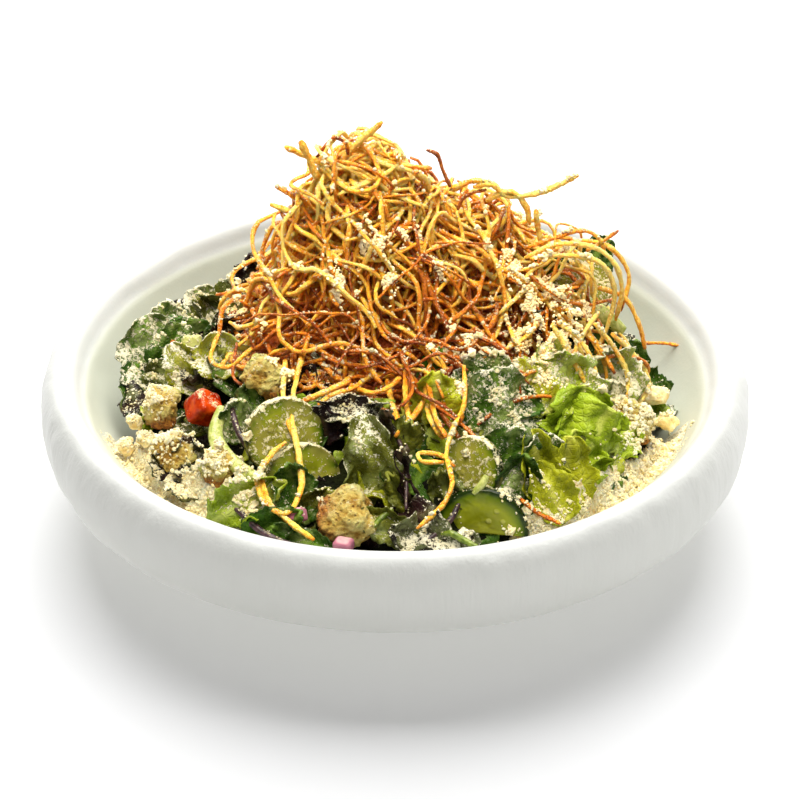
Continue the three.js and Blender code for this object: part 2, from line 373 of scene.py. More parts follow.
def makeBowl():
    # section turned about the axis; the rim swells and sinks with low noise, and its outside
    # carries narrow strokes that run up and down
    section = bowlSection()
    angle = np.arange(bowl["spokes"]) * 2 * np.pi / bowl["spokes"]
    radius, height = section[1:-1, :1], section[1:-1, 1:]
    points = np.stack([radius * np.cos(angle), radius * np.sin(angle), height + 0 * angle], -1)
    rim = smoothStep(radius, 100, 126)
    outside = smoothStep(radius, 132, 138)
    swell = bowl["uneven"] * (roughNoise(points, 26, 2, 3) + 0.5 * latticeNoise(points, 6, 4)) * rim
    stroke = bowl["strokes"] * roughNoise(points * [1, 1, 0.08], 4.5, 2, 8) * outside
    outward = np.stack([np.cos(angle), np.sin(angle), 0 * angle], -1)
    limit = bowl["radius"] / np.maximum(radius, 1)
    points += outward * np.minimum(swell + stroke, (limit - 1) * radius)[..., None]
    points[..., 2] += 0.5 * swell * smoothStep(height, 30, 55)
    groove = np.exp(-((radius - bowl["creaseRadius"] - 0.5) / 1.6) ** 2) * (height > 46)
    points[..., 2] -= bowl["groove"] * groove
    faceSets = cappedFaces(*points.shape[:2], clockwise=True)
    points = np.concatenate([points.reshape(-1, 3), [[0, 0, section[0, 1]], [0, 0, section[-1, 1]]]])
    fromAxis = np.hypot(points[:, 0], points[:, 1])
    crease = bowl["creaseRadius"]
    inside = smoothStep(fromAxis, crease + 1, crease - 1) * (points[:, 2] > wellHeight(fromAxis) - 2)
    marks = {"inside": inside, "outside": smoothStep(fromAxis, 131, 137)}
    piece = makePiece("bowlShell", points, faceSets, stonewareMaterial(), marks)
    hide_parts("bowl")


print("bowl")
makeBowl()


class Ground:
    # heights of CAD nodes seen from above: rays dropped on a square grid, read between its
    # points; where no node lies the bowl's inside counts
    reach, spacing = 136.0, 2.0

    def __init__(self, heights):
        self.heights = heights
        self.slopeX, self.slopeY = np.gradient(heights, self.spacing)

    @classmethod
    def under(cls, *names):
        tree = searchTree(cadNodes[name].data for name in names)
        line = np.arange(-cls.reach, cls.reach + 1, cls.spacing)
        down = Vector((0, 0, -1))
        heights = wellHeight(np.hypot(*np.meshgrid(line, line, indexing="ij")))
        for row, x in enumerate(line):
            for column, y in enumerate(line):
                place = tree.ray_cast(Vector((x, y, 400)), down)[0]
                if place:
                    heights[row, column] = place.z
        return cls(heights)

    def read(self, grid, x, y):
        # straight blend of the four nearest grid points
        across = np.clip((np.asarray(x) + self.reach) / self.spacing, 0, grid.shape[0] - 1.001)
        along = np.clip((np.asarray(y) + self.reach) / self.spacing, 0, grid.shape[1] - 1.001)
        row, column = across.astype(int), along.astype(int)
        across, along = across - row, along - column
        near = grid[row, column] * (1 - along) + grid[row, column + 1] * along
        far = grid[row + 1, column] * (1 - along) + grid[row + 1, column + 1] * along
        return near * (1 - across) + far * across

    def height(self, x, y):
        return self.read(self.heights, x, y)

    def normal(self, x, y, steepest=3.0):
        slope = np.stack([self.read(self.slopeX, x, y), self.read(self.slopeY, x, y)], -1)
        slope *= np.minimum(1, steepest / np.maximum(np.linalg.norm(slope, axis=-1, keepdims=True), 1e-6))
        return unit(np.concatenate([-slope, np.ones_like(slope[..., :1])], -1))


moundShape = dict(
    smoothing=2,                     # times that each height is blended with its neighbours
    sunk=9.5, nestSunk=10.0,         # how far the crown and the open nest lie below the CAD hull
    nestFrom=36, nestTo=56,          # between these x the crown turns into the open nest
    hollows=4.5, across=24,          # depth and size of the hollows between the straws
    saddle=(19, 10),                 # middle of the saddle right of the crown
    saddleDepth=17.0, saddleAcross=15.0, saddleAlong=32.0,
)


def shapedMound(mound):
    # the heap of straws: the CAD hull smoothed, let down, and with hollows of rough noise
    heights = mound.heights
    for axis in (0, 1) * moundShape["smoothing"]:
        before, after = (np.roll(heights, shift, axis) for shift in (1, -1))
        heights = (before + 2 * heights + after) / 4
    x, y = np.indices(heights.shape) * mound.spacing - mound.reach
    share = smoothStep(heights - salad.heights, 4, 30)
    nest = smoothStep(x, moundShape["nestFrom"], moundShape["nestTo"])
    saddleX, saddleY = moundShape["saddle"]
    fromSaddle = np.hypot((x - saddleX) / moundShape["saddleAcross"],
                          (y - saddleY) / moundShape["saddleAlong"])
    sinking = moundShape["sunk"] + moundShape["nestSunk"] * nest
    sinking = sinking + moundShape["saddleDepth"] * np.exp(-fromSaddle ** 2 / 2)
    hollows = roughNoise(np.stack([x, y, heights], -1), moundShape["across"], 2, 12)
    return Ground(heights + share * (moundShape["hollows"] * hollows - sinking))


print("heaps")
salad = Ground.under("salad_bed")
mound = shapedMound(Ground.under("salad_bed", "straw_mound"))
moundHeight = mound.heights - salad.heights


core = dict(
    saladDepth=8.0,                  # how far the core lies below the leaves' level
    strawDepth=10.5,
    looseFrom=38.0, looseTo=62.0,    # between these x the straws turn into an open nest
    saladReach=101.0, saladFrontReach=8.0,     # reach from the axis, and how much more at the front
    strawInset=8,                    # how far the core stays inside the CAD heap
    relief=3.0,
)


def makeHeap(name, centre, outline, top, bottom, material, replaced):
    # a closed heap: rings from the middle out to outline(angle) on top, and back underneath
    rings, spokes = 40, 120
    angle = np.arange(spokes) * 2 * np.pi / spokes
    share = np.linspace(1 / rings, 1, rings)[:, None]
    x, y = (centre[k] + share * outline(angle) * turn(angle) for k, turn in enumerate((np.cos, np.sin)))
    upper = np.stack([x, y, top(x, y)], -1)
    lower = np.stack([x, y, np.minimum(bottom(x, y), upper[..., 2] - 0.5)], -1)[::-1]
    upper[..., 2] += core["relief"] * roughNoise(upper, 9, 3, 5) * (1 - share ** 6)
    rows = np.concatenate([upper, lower])
    poles = [[*centre, top(*centre)], [*centre, bottom(*centre)]]
    points = np.concatenate([rows.reshape(-1, 3), poles])
    piece = makePiece(name, points, cappedFaces(2 * rings, spokes), material)
    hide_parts(replaced)


def saladCoreTop(x, y):
    return np.maximum(salad.height(x, y) - core["saladDepth"], wellHeight(np.hypot(x, y)) + 1.5)


def strawCoreTop(x, y):
    # one depth below the mound, falling into the salad where the nest is open
    rise = np.maximum(mound.height(x, y) - core["strawDepth"] - salad.height(x, y), -12)
    return salad.height(x, y) - 12 + (rise + 12) * smoothStep(x, core["looseTo"], core["looseFrom"])


def makeCores():
    # the salad core is near-black: painted shade that shows in the gaps between the leaves
    green = Shader("saladCore")
    patch = green.noise(160, 4, 0.6)
    colour = green.mix(patch.step(0.35, 0.7), srgb(8, 9, 3), srgb(28, 33, 8))
    bump = green.bump(green.noise(700, 3), 0.002)
    material = green.finish(Base_Color=colour, Roughness=0.7, Normal=bump, Specular_IOR_Level=0.08)
    makeHeap("saladCore", (0, 0),
             lambda angle: core["saladReach"] - core["saladFrontReach"] * np.sin(angle),
             saladCoreTop, lambda x, y: wellHeight(np.hypot(x, y)) + 0.6, material, "salad_bed")
    brown = Shader("strawCore")
    patch = brown.noise(220, 4, 0.65)
    # the straw core is browner than the straws over it, as painted shade in the gaps of the heap; higher up
    # it turns bright orange, a painted glow of light coming through the straws
    height = brown.rise(brown.place()).step(0.085, 0.125)
    colour = brown.mix(patch.step(0.35, 0.7), srgb(158, 66, 4), srgb(214, 112, 10))
    colour = brown.mix(height, colour, srgb(236, 150, 20))
    bump = brown.bump(brown.noise(500, 3), 0.003)
    material = brown.finish(Base_Color=colour, Roughness=0.6, Normal=bump)
    middle, size = frameBox("straw_mound")
    halfX, halfY = size[:2] / 2 - core["strawInset"]
    makeHeap("strawCore", tuple(middle[:2]),
             lambda angle: 1 / np.hypot(np.cos(angle) / halfX, np.sin(angle) / halfY),
             strawCoreTop, lambda x, y: salad.height(x, y) - 16, material, "straw_mound")


print("cores")
makeCores()


def joined(parts):
    # several (points, faceSets, marks) as one
    points, faceSets, marks, start = [], [], {}, 0
    for partPoints, partFaces, partMarks in parts:
        points.append(partPoints)
        faceSets += [faces + start for faces in partFaces]
        start += len(partPoints)
        for mark, values in partMarks.items():
            marks.setdefault(mark, []).append(values)
    marks = {mark: np.concatenate(values) for mark, values in marks.items()}
    return np.concatenate(points), faceSets, marks


def closed(upper, lower):
    # closed bodies between two grids of points (bodies x rows x columns x 3), joined by a strip
    # round their rims
    count, rows, columns = upper.shape[:3]
    points = np.concatenate([upper.reshape(count, -1, 3), lower.reshape(count, -1, 3)], 1)
    index = np.arange(rows * columns).reshape(rows, columns)
    rim = np.concatenate([index[0], index[1:, -1], index[-1, -2::-1], index[-2:0:-1, 0]])
    following = np.roll(rim, -1)
    under = rows * columns
    grid = gridFaces(rows, columns)
    strip = np.stack([following, rim, rim + under, following + under], 1)
    faces = np.concatenate([grid, grid[:, ::-1] + under, strip])
    return points.reshape(-1, 3), repeated([faces], count, points.shape[1])


def sheets(middle, thick):
    # thin sheets: each side lies half the thickness off the middle surface along its normal
    normal = unit(np.cross(np.gradient(middle, axis=2), np.gradient(middle, axis=1)))
    half = normal * (np.broadcast_to(thick, middle.shape[:3]) / 2)[..., None]
    return closed(middle + half, middle - half)


def intoBowl(points, room=0.8):
    # nothing sinks into the bowl: points stay inside the crease and above the well
    radius = np.hypot(points[..., 0], points[..., 1])
    inward = np.minimum(1, (bowl["creaseRadius"] - 4) / np.maximum(radius, 1))
    points[..., :2] *= inward[..., None]
    points[..., 2] = np.maximum(points[..., 2], wellHeight(radius * inward) + room)
    return points


leafKinds = dict(
    romaine=dict(outline=0.55, frill=0.07, ruffle=1.7, crinkle=1.2, fold=4.5, pleat=0.7, veins=0.4, rib=0.9),
    lettuce=dict(outline=0.5, frill=0.13, ruffle=3.0, crinkle=1.9, fold=6.0, pleat=1.6, veins=0.4, rib=0.7),
    red=dict(outline=0.5, frill=0.18, ruffle=3.4, crinkle=1.5, fold=5.0, pleat=0.9, veins=0.3, rib=0.7),
    heart=dict(outline=0.6, frill=0.09, ruffle=2.0, crinkle=1.6, fold=5.0, pleat=1.0, veins=0.5, rib=1.3),
    olive=dict(outline=0.5, frill=0.08, ruffle=1.8, crinkle=1.8, fold=5.0, pleat=1.3, veins=0.3, rib=0.6),
)


def leafSurfaces(kind, rows, columns, size, bend, cup, tip, seed):
    # middle surface of each leaf, lying in its own plane. The half width follows
    # sin(pi * u^0.85) to a power, with a frilled edge; the sheet is cupped across, its middle
    # line turns by bend plus a curl at the tip, and rib, side veins, blisters, wide folds,
    # wandering pleats and a ruffle that grows towards the edge lift it
    shape = leafKinds[kind]
    random = np.random.default_rng(seed)
    count = len(size)
    phase = random.uniform(0, 2 * np.pi, (4, count, 1, 1))
    length, width, bend, cup, tip = (np.asarray(part, float).reshape(count, 1, 1)
                                     for part in (size[:, 0], size[:, 1], bend, cup, tip))
    u = np.linspace(0, 1, rows)[None, :, None] + np.zeros((count, 1, columns))
    v = np.linspace(-1, 1, columns)[None, None, :] + np.zeros((count, rows, 1))
    edge = np.sin(np.pi * (0.06 + 0.88 * u) ** 0.85) ** shape["outline"]
    side = np.sign(v)
    frill = np.sin(u * 21 + phase[0] * side) + 0.6 * np.sin(u * 47 + phase[1] * side)
    halfWidth = width / 2 * edge * (1 + shape["frill"] * frill * np.abs(v) ** 2)
    cup = np.where(np.abs(cup) < 0.05, 0.05, cup)
    x = halfWidth * np.sin(cup * v) / cup
    rise = halfWidth * (1 - np.cos(cup * v)) / cup
    spot = np.stack([x, length * u, 0 * x + 61.0 * np.arange(count).reshape(count, 1, 1)], -1)
    rib = np.exp(-(v * halfWidth / 1.6) ** 2)
    veins = np.sin(2 * np.pi * (u * length / 6.5 - np.abs(v) * 1.3) + phase[2]) ** 8 * (1 - rib)
    lift = (shape["crinkle"] * roughNoise(spot, 7, 3, seed) - shape["rib"] * rib - shape["veins"] * veins
            + shape["fold"] * latticeNoise(spot, 15, seed + 5)
            + shape["pleat"] * np.sin(7 * v + 5 * latticeNoise(spot, 22, seed + 9) + phase[1])
            + shape["ruffle"] * np.abs(v) ** 2.5 * np.sin(u * length / 2.3 + phase[3] * side))
    turn = bend * (u - 0.5) + tip * smoothStep(u, 0.55, 1)
    stride = length / (rows - 1)
    run = np.cumsum(np.cos(turn) * stride, 1)
    climb = np.cumsum(np.sin(turn) * stride, 1)
    run, climb = run - run.mean(1, keepdims=True), climb - climb.mean(1, keepdims=True)
    height = rise + lift
    local = np.stack([x, run - np.sin(turn) * height, climb + np.cos(turn) * height], -1)
    marks = dict(vein=np.maximum(rib, veins * 0.55), edge=np.abs(v) ** 3)
    return local, marks, np.stack([length * u, halfWidth * v], -1)


def leafParts(kind, rows, columns, leaves, seed):
    # leaves: list of dicts with at, axes, size, bend, cup, tip, dust
    def column(key):
        return np.array([leaf[key] for leaf in leaves], float)

    form = [column(key) for key in ("size", "bend", "cup", "tip")]
    local, marks, uv = leafSurfaces(kind, rows, columns, *form, seed)
    middle = np.einsum("nrci,nij->nrcj", local, column("axes")) + column("at")[:, None, None]
    points, faceSets = sheets(intoBowl(middle), 0.65 - 0.3 * marks["edge"] + 0.9 * marks["vein"] ** 4)
    random = np.random.default_rng(seed + 1)
    marks["tint"] = random.uniform(0, 1, (len(leaves), 1, 1)) + 0 * marks["edge"]
    marks["dust"] = column("dust")[:, None, None] + 0 * marks["edge"]

    def bothSides(values):
        flat = values.reshape(len(leaves), rows * columns, -1)
        return np.concatenate([flat, flat], 1).reshape(-1, flat.shape[-1])

    marks = {mark: bothSides(values)[:, 0] for mark, values in marks.items()}
    return points, faceSets, marks, bothSides(uv)


# deep, middle, light and margin colour, and how much dressing lies on the leaf
leafColours = dict(
    romaine=((16, 40, 4), (66, 108, 20), (136, 168, 60), (36, 64, 10), 0.34),
    lettuce=((104, 128, 8), (170, 192, 40), (218, 224, 116), (150, 176, 30), 0.35),
    red=((14, 6, 10), (46, 24, 28), (96, 78, 50), (26, 10, 16), 0.2),
    heart=((128, 136, 6), (190, 194, 36), (226, 224, 112), (160, 166, 22), 0.35),
    olive=((48, 54, 6), (122, 126, 34), (162, 168, 74), (70, 76, 14), 0.4),
)


def leafMaterial(kind):
    # green between the veins, paler ribs, a glossy film of creamy dressing in patches, and
    # grated cheese that lies where the leaf faces up
    leaf = Shader(kind + "Leaf")
    *tones, dressing = leafColours[kind]
    deep, middle, light, margin = (srgb(*tone) for tone in tones)
    place = leaf.node("ShaderNodeUVMap", {"uv_map": "place"})
    net = leaf.cells(0.5, place=place, feature="DISTANCE_TO_EDGE").step(0.12, 0.0)
    patch = leaf.noise(110, 4, 0.6)
    fine = leaf.noise(430, 3, 0.65)
    dust = leaf.mark("dust")
    vein = leaf.mark("vein")
    green = leaf.mix((patch * 0.9 + fine * 0.4 + leaf.mark("tint") * 0.3).step(0.5, 1.1), deep, middle)
    green = leaf.mix(net * 0.1 + vein.step(0.2, 0.9) * 0.45, green, light)
    green = leaf.mix(leaf.mark("edge").step(0.25, 0.9) * 0.7, green, margin)
    film = (leaf.noise(90, 3, 0.6) + fine * 0.4 + dust * 0.4).step(0.86, 1.06)
    creamed = leaf.mix(film * (dust * 0.3 + (dressing - 0.08)), green, srgb(184, 198, 124))
    upward = leaf.upward()
    grain = leaf.noise(720, 3, 0.75)
    clump = leaf.noise(240, 2, 0.6)
    powder = (grain * 1.1 + clump * 0.5 + dust * 0.6 + upward * 0.22).step(1.3, 1.37)
    colour = leaf.mix(powder * 0.94, creamed, srgb(252, 247, 222))
    height = grain * powder * 1.6 + patch * 0.4 + fine * 0.5 - net * 0.2 - vein * 0.5
    bump = leaf.bump(height, 0.0011, 0.9)
    return leaf.finish(Base_Color=colour, Roughness=powder * 0.5 + 0.4, Normal=bump, Specular_IOR_Level=0.2,
                       Coat_Weight=film * 0.25, Coat_Roughness=0.2)


# leaves that show, each as kind, place, (yaw, tilt, roll), (length, width), bend, cup, tip and
# how much cheese lies on it
shownLeaves = [
    # left side
    ("romaine", (-95, 8, 55), (24, 34, 4), (38, 34), 0.5, 0.5, 0.2, 0.68),
    ("romaine", (-101, -6, 47), (38, 52, -20), (28, 22), 0.9, 1.0, -0.6, 0.35),
    ("romaine", (-88, 22, 60), (14, 48, 24), (28, 24), 0.6, -0.4, 0.4, 0.72),
    ("romaine", (-88, 6, 61), (-6, 38, -14), (24, 20), -0.5, 0.5, 0.3, 0.5),
    ("romaine", (-75, 34, 61), (-8, 56, 30), (28, 24), 0.6, 0.8, 0.4, 0.8),
    ("olive", (-70, 28, 67), (10, 34, 60), (20, 16), 0.8, 1.2, 0.6, 0.6),
    ("olive", (-62, 42, 66), (-20, 48, -30), (26, 24), 0.5, 0.6, 0.5, 0.72),
    ("red", (-56, 36, 76), (-30, 36, 10), (18, 16), 0.9, 1.3, 0.8, 0.3),
    ("red", (-58, 42, 75), (-30, 40, 10), (17, 12), 0.5, 0.9, 0.5, 0.4),
    ("red", (-65, 2, 74), (0, 40, -50), (17, 15), 0.8, 1.4, 0.5, 0.5),
    ("heart", (-68, -18, 73), (10, 44, 0), (20, 24), 0.5, 0.6, 0.2, 0.62),
    ("heart", (-82, -16, 67), (-10, 50, 40), (24, 18), 0.4, 0.8, 0.4, 0.66),
    ("red", (-77, -66, 58), (-10, 40, 20), (20, 16), 0.6, 0.9, 0.5, 0.5),
    ("red", (-82, -72, 54), (-24, 46, 70), (26, 16), 0.7, 1.1, 0.4, 0.5),
    ("romaine", (-60, -54, 68), (4, 36, -10), (18, 15), 0.7, 0.5, 0.4, 0.6),
    ("romaine", (-53, -48, 71), (8, 34, 14), (18, 16), 0.6, -0.4, 0.4, 0.5),
    ("lettuce", (-58, -97, 57), (-14, 42, -50), (32, 20), 0.7, 0.9, 0.4, 0.42),
    ("romaine", (-47, -106, 54), (-8, 42, -62), (28, 16), 0.7, 0.9, 0.5, 0.35),
    ("romaine", (-34, -112, 52), (-6, 40, 70), (24, 13), 0.6, 0.9, 0.4, 0.3),
    ("romaine", (-37, -92, 60), (6, 34, 16), (26, 20), 0.6, 0.8, 0.4, 0.45),
    ("olive", (-30, -97, 57), (-14, 36, -40), (22, 14), 0.6, 1.0, 0.4, 0.4),
    # front
    ("red", (-27, -63, 73), (-12, 30, 10), (18, 18), 0.5, 0.8, 0.5, 0.12),
    ("red", (-16, -63, 78), (-6, 52, 2), (14, 32), 0.8, 1.1, 0.4, 0.6),
    ("olive", (-9, -87, 66), (8, 12, 6), (44, 27), 0.6, 1.1, -0.5, 0.58),
    ("red", (-1, -76, 73), (26, 10, 12), (30, 8), 0.9, 1.2, 0.6, 0.42),
    ("red", (3, -92, 65), (34, 8, 2), (36, 7), 0.6, 0.9, 0.4, 0.3),
    ("olive", (3, -77, 71), (-10, 20, -12), (24, 16), 0.5, -0.6, 0.3, 0.4),
    ("olive", (2, -94, 62), (14, 22, 30), (19, 13), 0.6, 0.9, 0.4, 0.36),
    ("heart", (16, -58, 79), (-8, 34, 0), (26, 22), 0.5, 0.7, 0.3, 0.2),
    ("olive", (-4, -108, 56), (-6, 40, 70), (26, 14), 0.5, 0.8, 0.4, 0.4),
    ("red", (14, -115, 53), (-4, 60, 84), (36, 18), 0.4, 0.8, 0.3, 0.66),
    # right of the middle
    ("romaine", (41, -66, 74), (8, 36, 6), (42, 36), 0.5, -0.5, 0.3, 0.64),
    ("romaine", (42, -84, 69), (6, 34, -14), (30, 25), 0.5, -0.5, 0.3, 0.62),
    ("olive", (19, -93, 62), (-10, 26, 20), (20, 15), 0.6, 0.8, 0.4, 0.4),
    ("romaine", (34, -52, 82), (0, 50, -30), (30, 26), 0.4, 0.5, 0.3, 0.55),
    ("romaine", (54, -79, 66), (18, 26, 150), (24, 20), 0.6, 0.8, 0.5, 0.7),
    ("romaine", (46, -90, 62), (0, 22, -14), (26, 20), 0.5, 0.9, 0.2, 0.25),
    ("heart", (52, -48, 78), (6, 44, 24), (26, 20), 0.5, 0.7, 0.2, 0.5),
    ("lettuce", (66, -40, 74), (16, 48, -24), (30, 28), 0.6, 0.6, 0.4, 0.66),
    ("lettuce", (70, -63, 69), (14, 28, 164), (32, 30), 0.6, 0.5, 0.5, 0.14),
    ("lettuce", (74, -66, 67), (22, 26, 140), (30, 28), 0.5, -0.5, 0.6, 0.1),
    ("lettuce", (70, -70, 60), (12, 26, 190), (28, 24), 0.8, 0.9, 0.6, 0.12),
    ("lettuce", (86, -54, 58), (40, 44, 110), (20, 18), 0.9, 1.0, 0.5, 0.3),
    ("lettuce", (63, -62, 66), (20, 14, 150), (22, 18), 0.9, 1.5, 0.4, 0.1),
    ("heart", (55, -84, 64), (14, 24, 10), (33, 22), 0.7, 1.1, -0.4, 0.06),
    ("heart", (66, -81, 61), (24, 30, -8), (29, 20), 0.7, 1.0, -0.3, 0.1),
    ("heart", (58, -90, 59), (18, 36, 20), (25, 20), 0.6, 0.8, -0.3, 0.12),
    # right side
    ("romaine", (86, -4, 61), (24, 40, 10), (30, 24), 0.6, 0.6, 0.4, 0.3),
    ("romaine", (94, 0, 55), (36, 44, -30), (26, 20), 0.6, 0.8, 0.4, 0.4),
    ("romaine", (99, -2, 50), (50, 48, 20), (20, 16), 0.7, 1.1, 0.4, 0.4),
    ("romaine", (76, 24, 90), (10, 30, -40), (28, 20), 0.5, 0.7, 0.4, 0.2),
    ("romaine", (62, 18, 88), (0, 20, 20), (30, 20), 0.5, 0.7, 0.4, 0.1),
    ("lettuce", (84, -20, 66), (20, 40, 40), (28, 24), 0.6, 0.7, 0.4, 0.75),
    ("olive", (84, -34, 60), (20, 44, -20), (20, 16), 0.6, 0.7, 0.4, 0.85),
]

fillLeaves = dict(
    # seed, number, share of the area left free in the middle, first and last angle
    groups=[(7, 250, 0.02, 0, 360), (8, 80, 0.42, 5, 175)],
    reach=99,                        # furthest from the middle of the bowl
    sizes=((20, 36), (15, 27)),      # shortest and longest, narrowest and widest
    shares=(0.36, 0.12, 0.24, 0.08, 0.2),      # of the kinds, in the order they are listed in
    covered=14,                      # where the straws lie thicker than this no leaf shows
    frontSunk=3.0,                   # how much lower they lie at the front, under the listed leaves
    room=7.0, roomSunk=13.0,         # round a piece with a place of its own they lie this much lower
    slant=0.55,                      # how far the leaves stray from lying on the heap
)


def axesFrom(normal, roll):
    # like facing, for many pieces whose faces are the normals
    across = unit(np.cross([0.0, 1.0, 0.0], normal))
    along = np.cross(normal, across)
    cos, sin = np.cos(roll)[:, None], np.sin(roll)[:, None]
    return np.stack([across * cos + along * sin, along * cos - across * sin, normal], 1)


def scatterLeaves(seed, count, free, first, last):
    # seeded leaves over the heap, except well inside the mound of straws
    random = np.random.default_rng(seed)
    angle = np.radians(random.uniform(first, last, count))
    radius = fillLeaves["reach"] * np.sqrt(random.uniform(free, 1, count))
    x, y = radius * np.cos(angle), radius * np.sin(angle) - 3
    normal = unit(salad.normal(x, y) + random.normal(0, fillLeaves["slant"], (count, 3)) * [1, 1, 0.3])
    normal[:, 2] = np.abs(normal[:, 2])
    axes = axesFrom(normal, random.uniform(0, 2 * np.pi, count))
    sunk = random.uniform(1, 7, count) + fillLeaves["frontSunk"] * smoothStep(y, -30, -50)
    for name in set(cadNodes) - {"bowl", "salad_bed", "straw_mound"}:
        middle, size = frameBox(name)
        near = np.hypot(x - middle[0], y - middle[1] + 3) - max(size[0], size[1]) / 2
        sunk = np.where(near < fillLeaves["room"], np.maximum(sunk, fillLeaves["roomSunk"]), sunk)
    at = np.stack([x, y, np.maximum(salad.height(x, y) - sunk, wellHeight(np.hypot(x, y)) + 2)], -1)
    shown = mound.read(moundHeight, x, y) < fillLeaves["covered"]
    kind = random.choice(list(leafKinds), count, p=fillLeaves["shares"])
    # no dark leaves by the cheese at the right
    kind = np.where((kind == "red") & (x > 60) & (y < 0), "lettuce", kind)
    length, width, bend, cup, tip, dust = random.uniform(0, 1, (6, count))
    (shortest, longest), (narrowest, widest) = fillLeaves["sizes"]
    size = np.stack([shortest + length * (longest - shortest), narrowest + width * (widest - narrowest)], 1)
    # the front carries less cheese
    dust = 0.1 + np.where(y > -40, 0.6, 0.3) * dust
    return [(str(kind[k]), dict(at=at[k], axes=axes[k], size=size[k], bend=bend[k] * 1.4 - 0.4,
                                cup=cup[k] * 1.8 - 0.5, tip=tip[k] * 1.2 - 0.3, dust=dust[k]))
            for k in np.flatnonzero(shown)]


def makeLeaves():
    # placed leaves have a finer grid than scattered ones
    shown = [(kind, dict(at=at, axes=facing(*turn), size=size, bend=bend, cup=cup, tip=tip, dust=dust))
             for kind, at, turn, size, bend, cup, tip, dust in shownLeaves]
    scattered = [leaf for group in fillLeaves["groups"] for leaf in scatterLeaves(*group)]
    for seed, kind in enumerate(leafKinds):
        batches = []
        for rows, columns, leaves in ((32, 22, shown), (16, 11, scattered)):
            chosen = [leaf for name, leaf in leaves if name == kind]
            batches.append(leafParts(kind, rows, columns, chosen, 100 + 10 * seed + rows))
        points, faceSets, marks = joined([batch[:3] for batch in batches])
        uv = np.concatenate([batch[3] for batch in batches])
        piece = makePiece(kind + "Leaves", points, faceSets, leafMaterial(kind), marks, uv)
        print(piece.name, 2 * sum(len(faces) for faces in faceSets))


print("leaves")
makeLeaves()


def smoothPath(points, steps):
    # a curve through given points: each span is the cubic that leaves a point along the
    # line between its two neighbours
    points = np.asarray(points, float)
    tangent = np.gradient(points, axis=0)
    spot = np.linspace(0, len(points) - 1, steps)
    low = np.minimum(spot.astype(int), len(points) - 2)
    part = (spot - low)[:, None]
    square, cube = part ** 2, part ** 3
    return ((2 * cube - 3 * square + 1) * points[low] + (3 * square - 2 * cube) * points[low + 1]
            + (cube - 2 * square + part) * tangent[low] + (cube - square) * tangent[low + 1])


cucumber = dict(
    thick=4.6, rounding=0.9,
    slices={                         # yaw, tilt, radius, half or whole, how much cheese
        "cucumber_slice_1": (16, 24, 15.5, False, 0.8),
        "cucumber_slice_2": (16, 24, 15.0, False, 0.65),
        "cucumber_slice_3": (-6, 16, 18.0, True, 0.0),
        "cucumber_slice_4": (-34, 26, 13.0, False, 0.75),
        "cucumber_slice_5": (12, 38, 13.0, False, 0.8),
    },
)


def slicePlate(radius, half, seed):
    # a round slice in its own plane: rings of points from the middle out to the edge, over the
    # rounded rim and back. A half slice is measured from a point off its straight edge, so
    # that every ray meets either the circle or that edge
    spokes, rings, rimRings = 96, 22, 7
    angle = np.arange(spokes) * 2 * np.pi / spokes
    offset = 0.42 * radius if half else 0.0
    toCircle = -offset * np.sin(angle) + np.sqrt(radius ** 2 - (offset * np.cos(angle)) ** 2)
    toEdge = np.where(np.sin(angle) < -0.02, offset / np.maximum(-np.sin(angle), 0.02), np.inf)
    reach = np.minimum(toCircle, toEdge) if half else toCircle
    flat = np.linspace(1 / rings, 1, rings)[:, None] * (reach - cucumber["rounding"])
    level = cucumber["thick"] / 2
    arc = np.linspace(0, np.pi, rimRings + 2)[1:-1]
    inset = cucumber["rounding"] * (1 - np.sin(arc))[:, None]
    spread = np.concatenate([flat, reach - inset, flat[::-1]])
    height = np.concatenate([np.full(rings, level), level * np.cos(arc), np.full(rings, -level)])
    x, y = spread * np.cos(angle), spread * np.sin(angle) + offset
    centre = [[0, offset, level], [0, offset, -level]]
    points = np.concatenate([np.stack([x, y, height[:, None] + 0 * x], -1).reshape(-1, 3), centre])
    # the slice is a little wavy, bent and rough
    wavy = 0.5 * latticeNoise(points * [1, 1, 0], 9, seed)
    points[:, 2] += wavy + 0.004 * points[:, 0] ** 2 * np.cos(seed)
    points[:, 2] += 0.18 * roughNoise(points, 2.2, 2, seed)
    fromSkin = radius - np.hypot(points[:, 0], points[:, 1])
    turn = np.arctan2(points[:, 1], points[:, 0])
    faceSets = cappedFaces(len(spread), spokes)
    return points, faceSets, {"fromSkin": fromSkin}, np.stack([turn, fromSkin], -1)


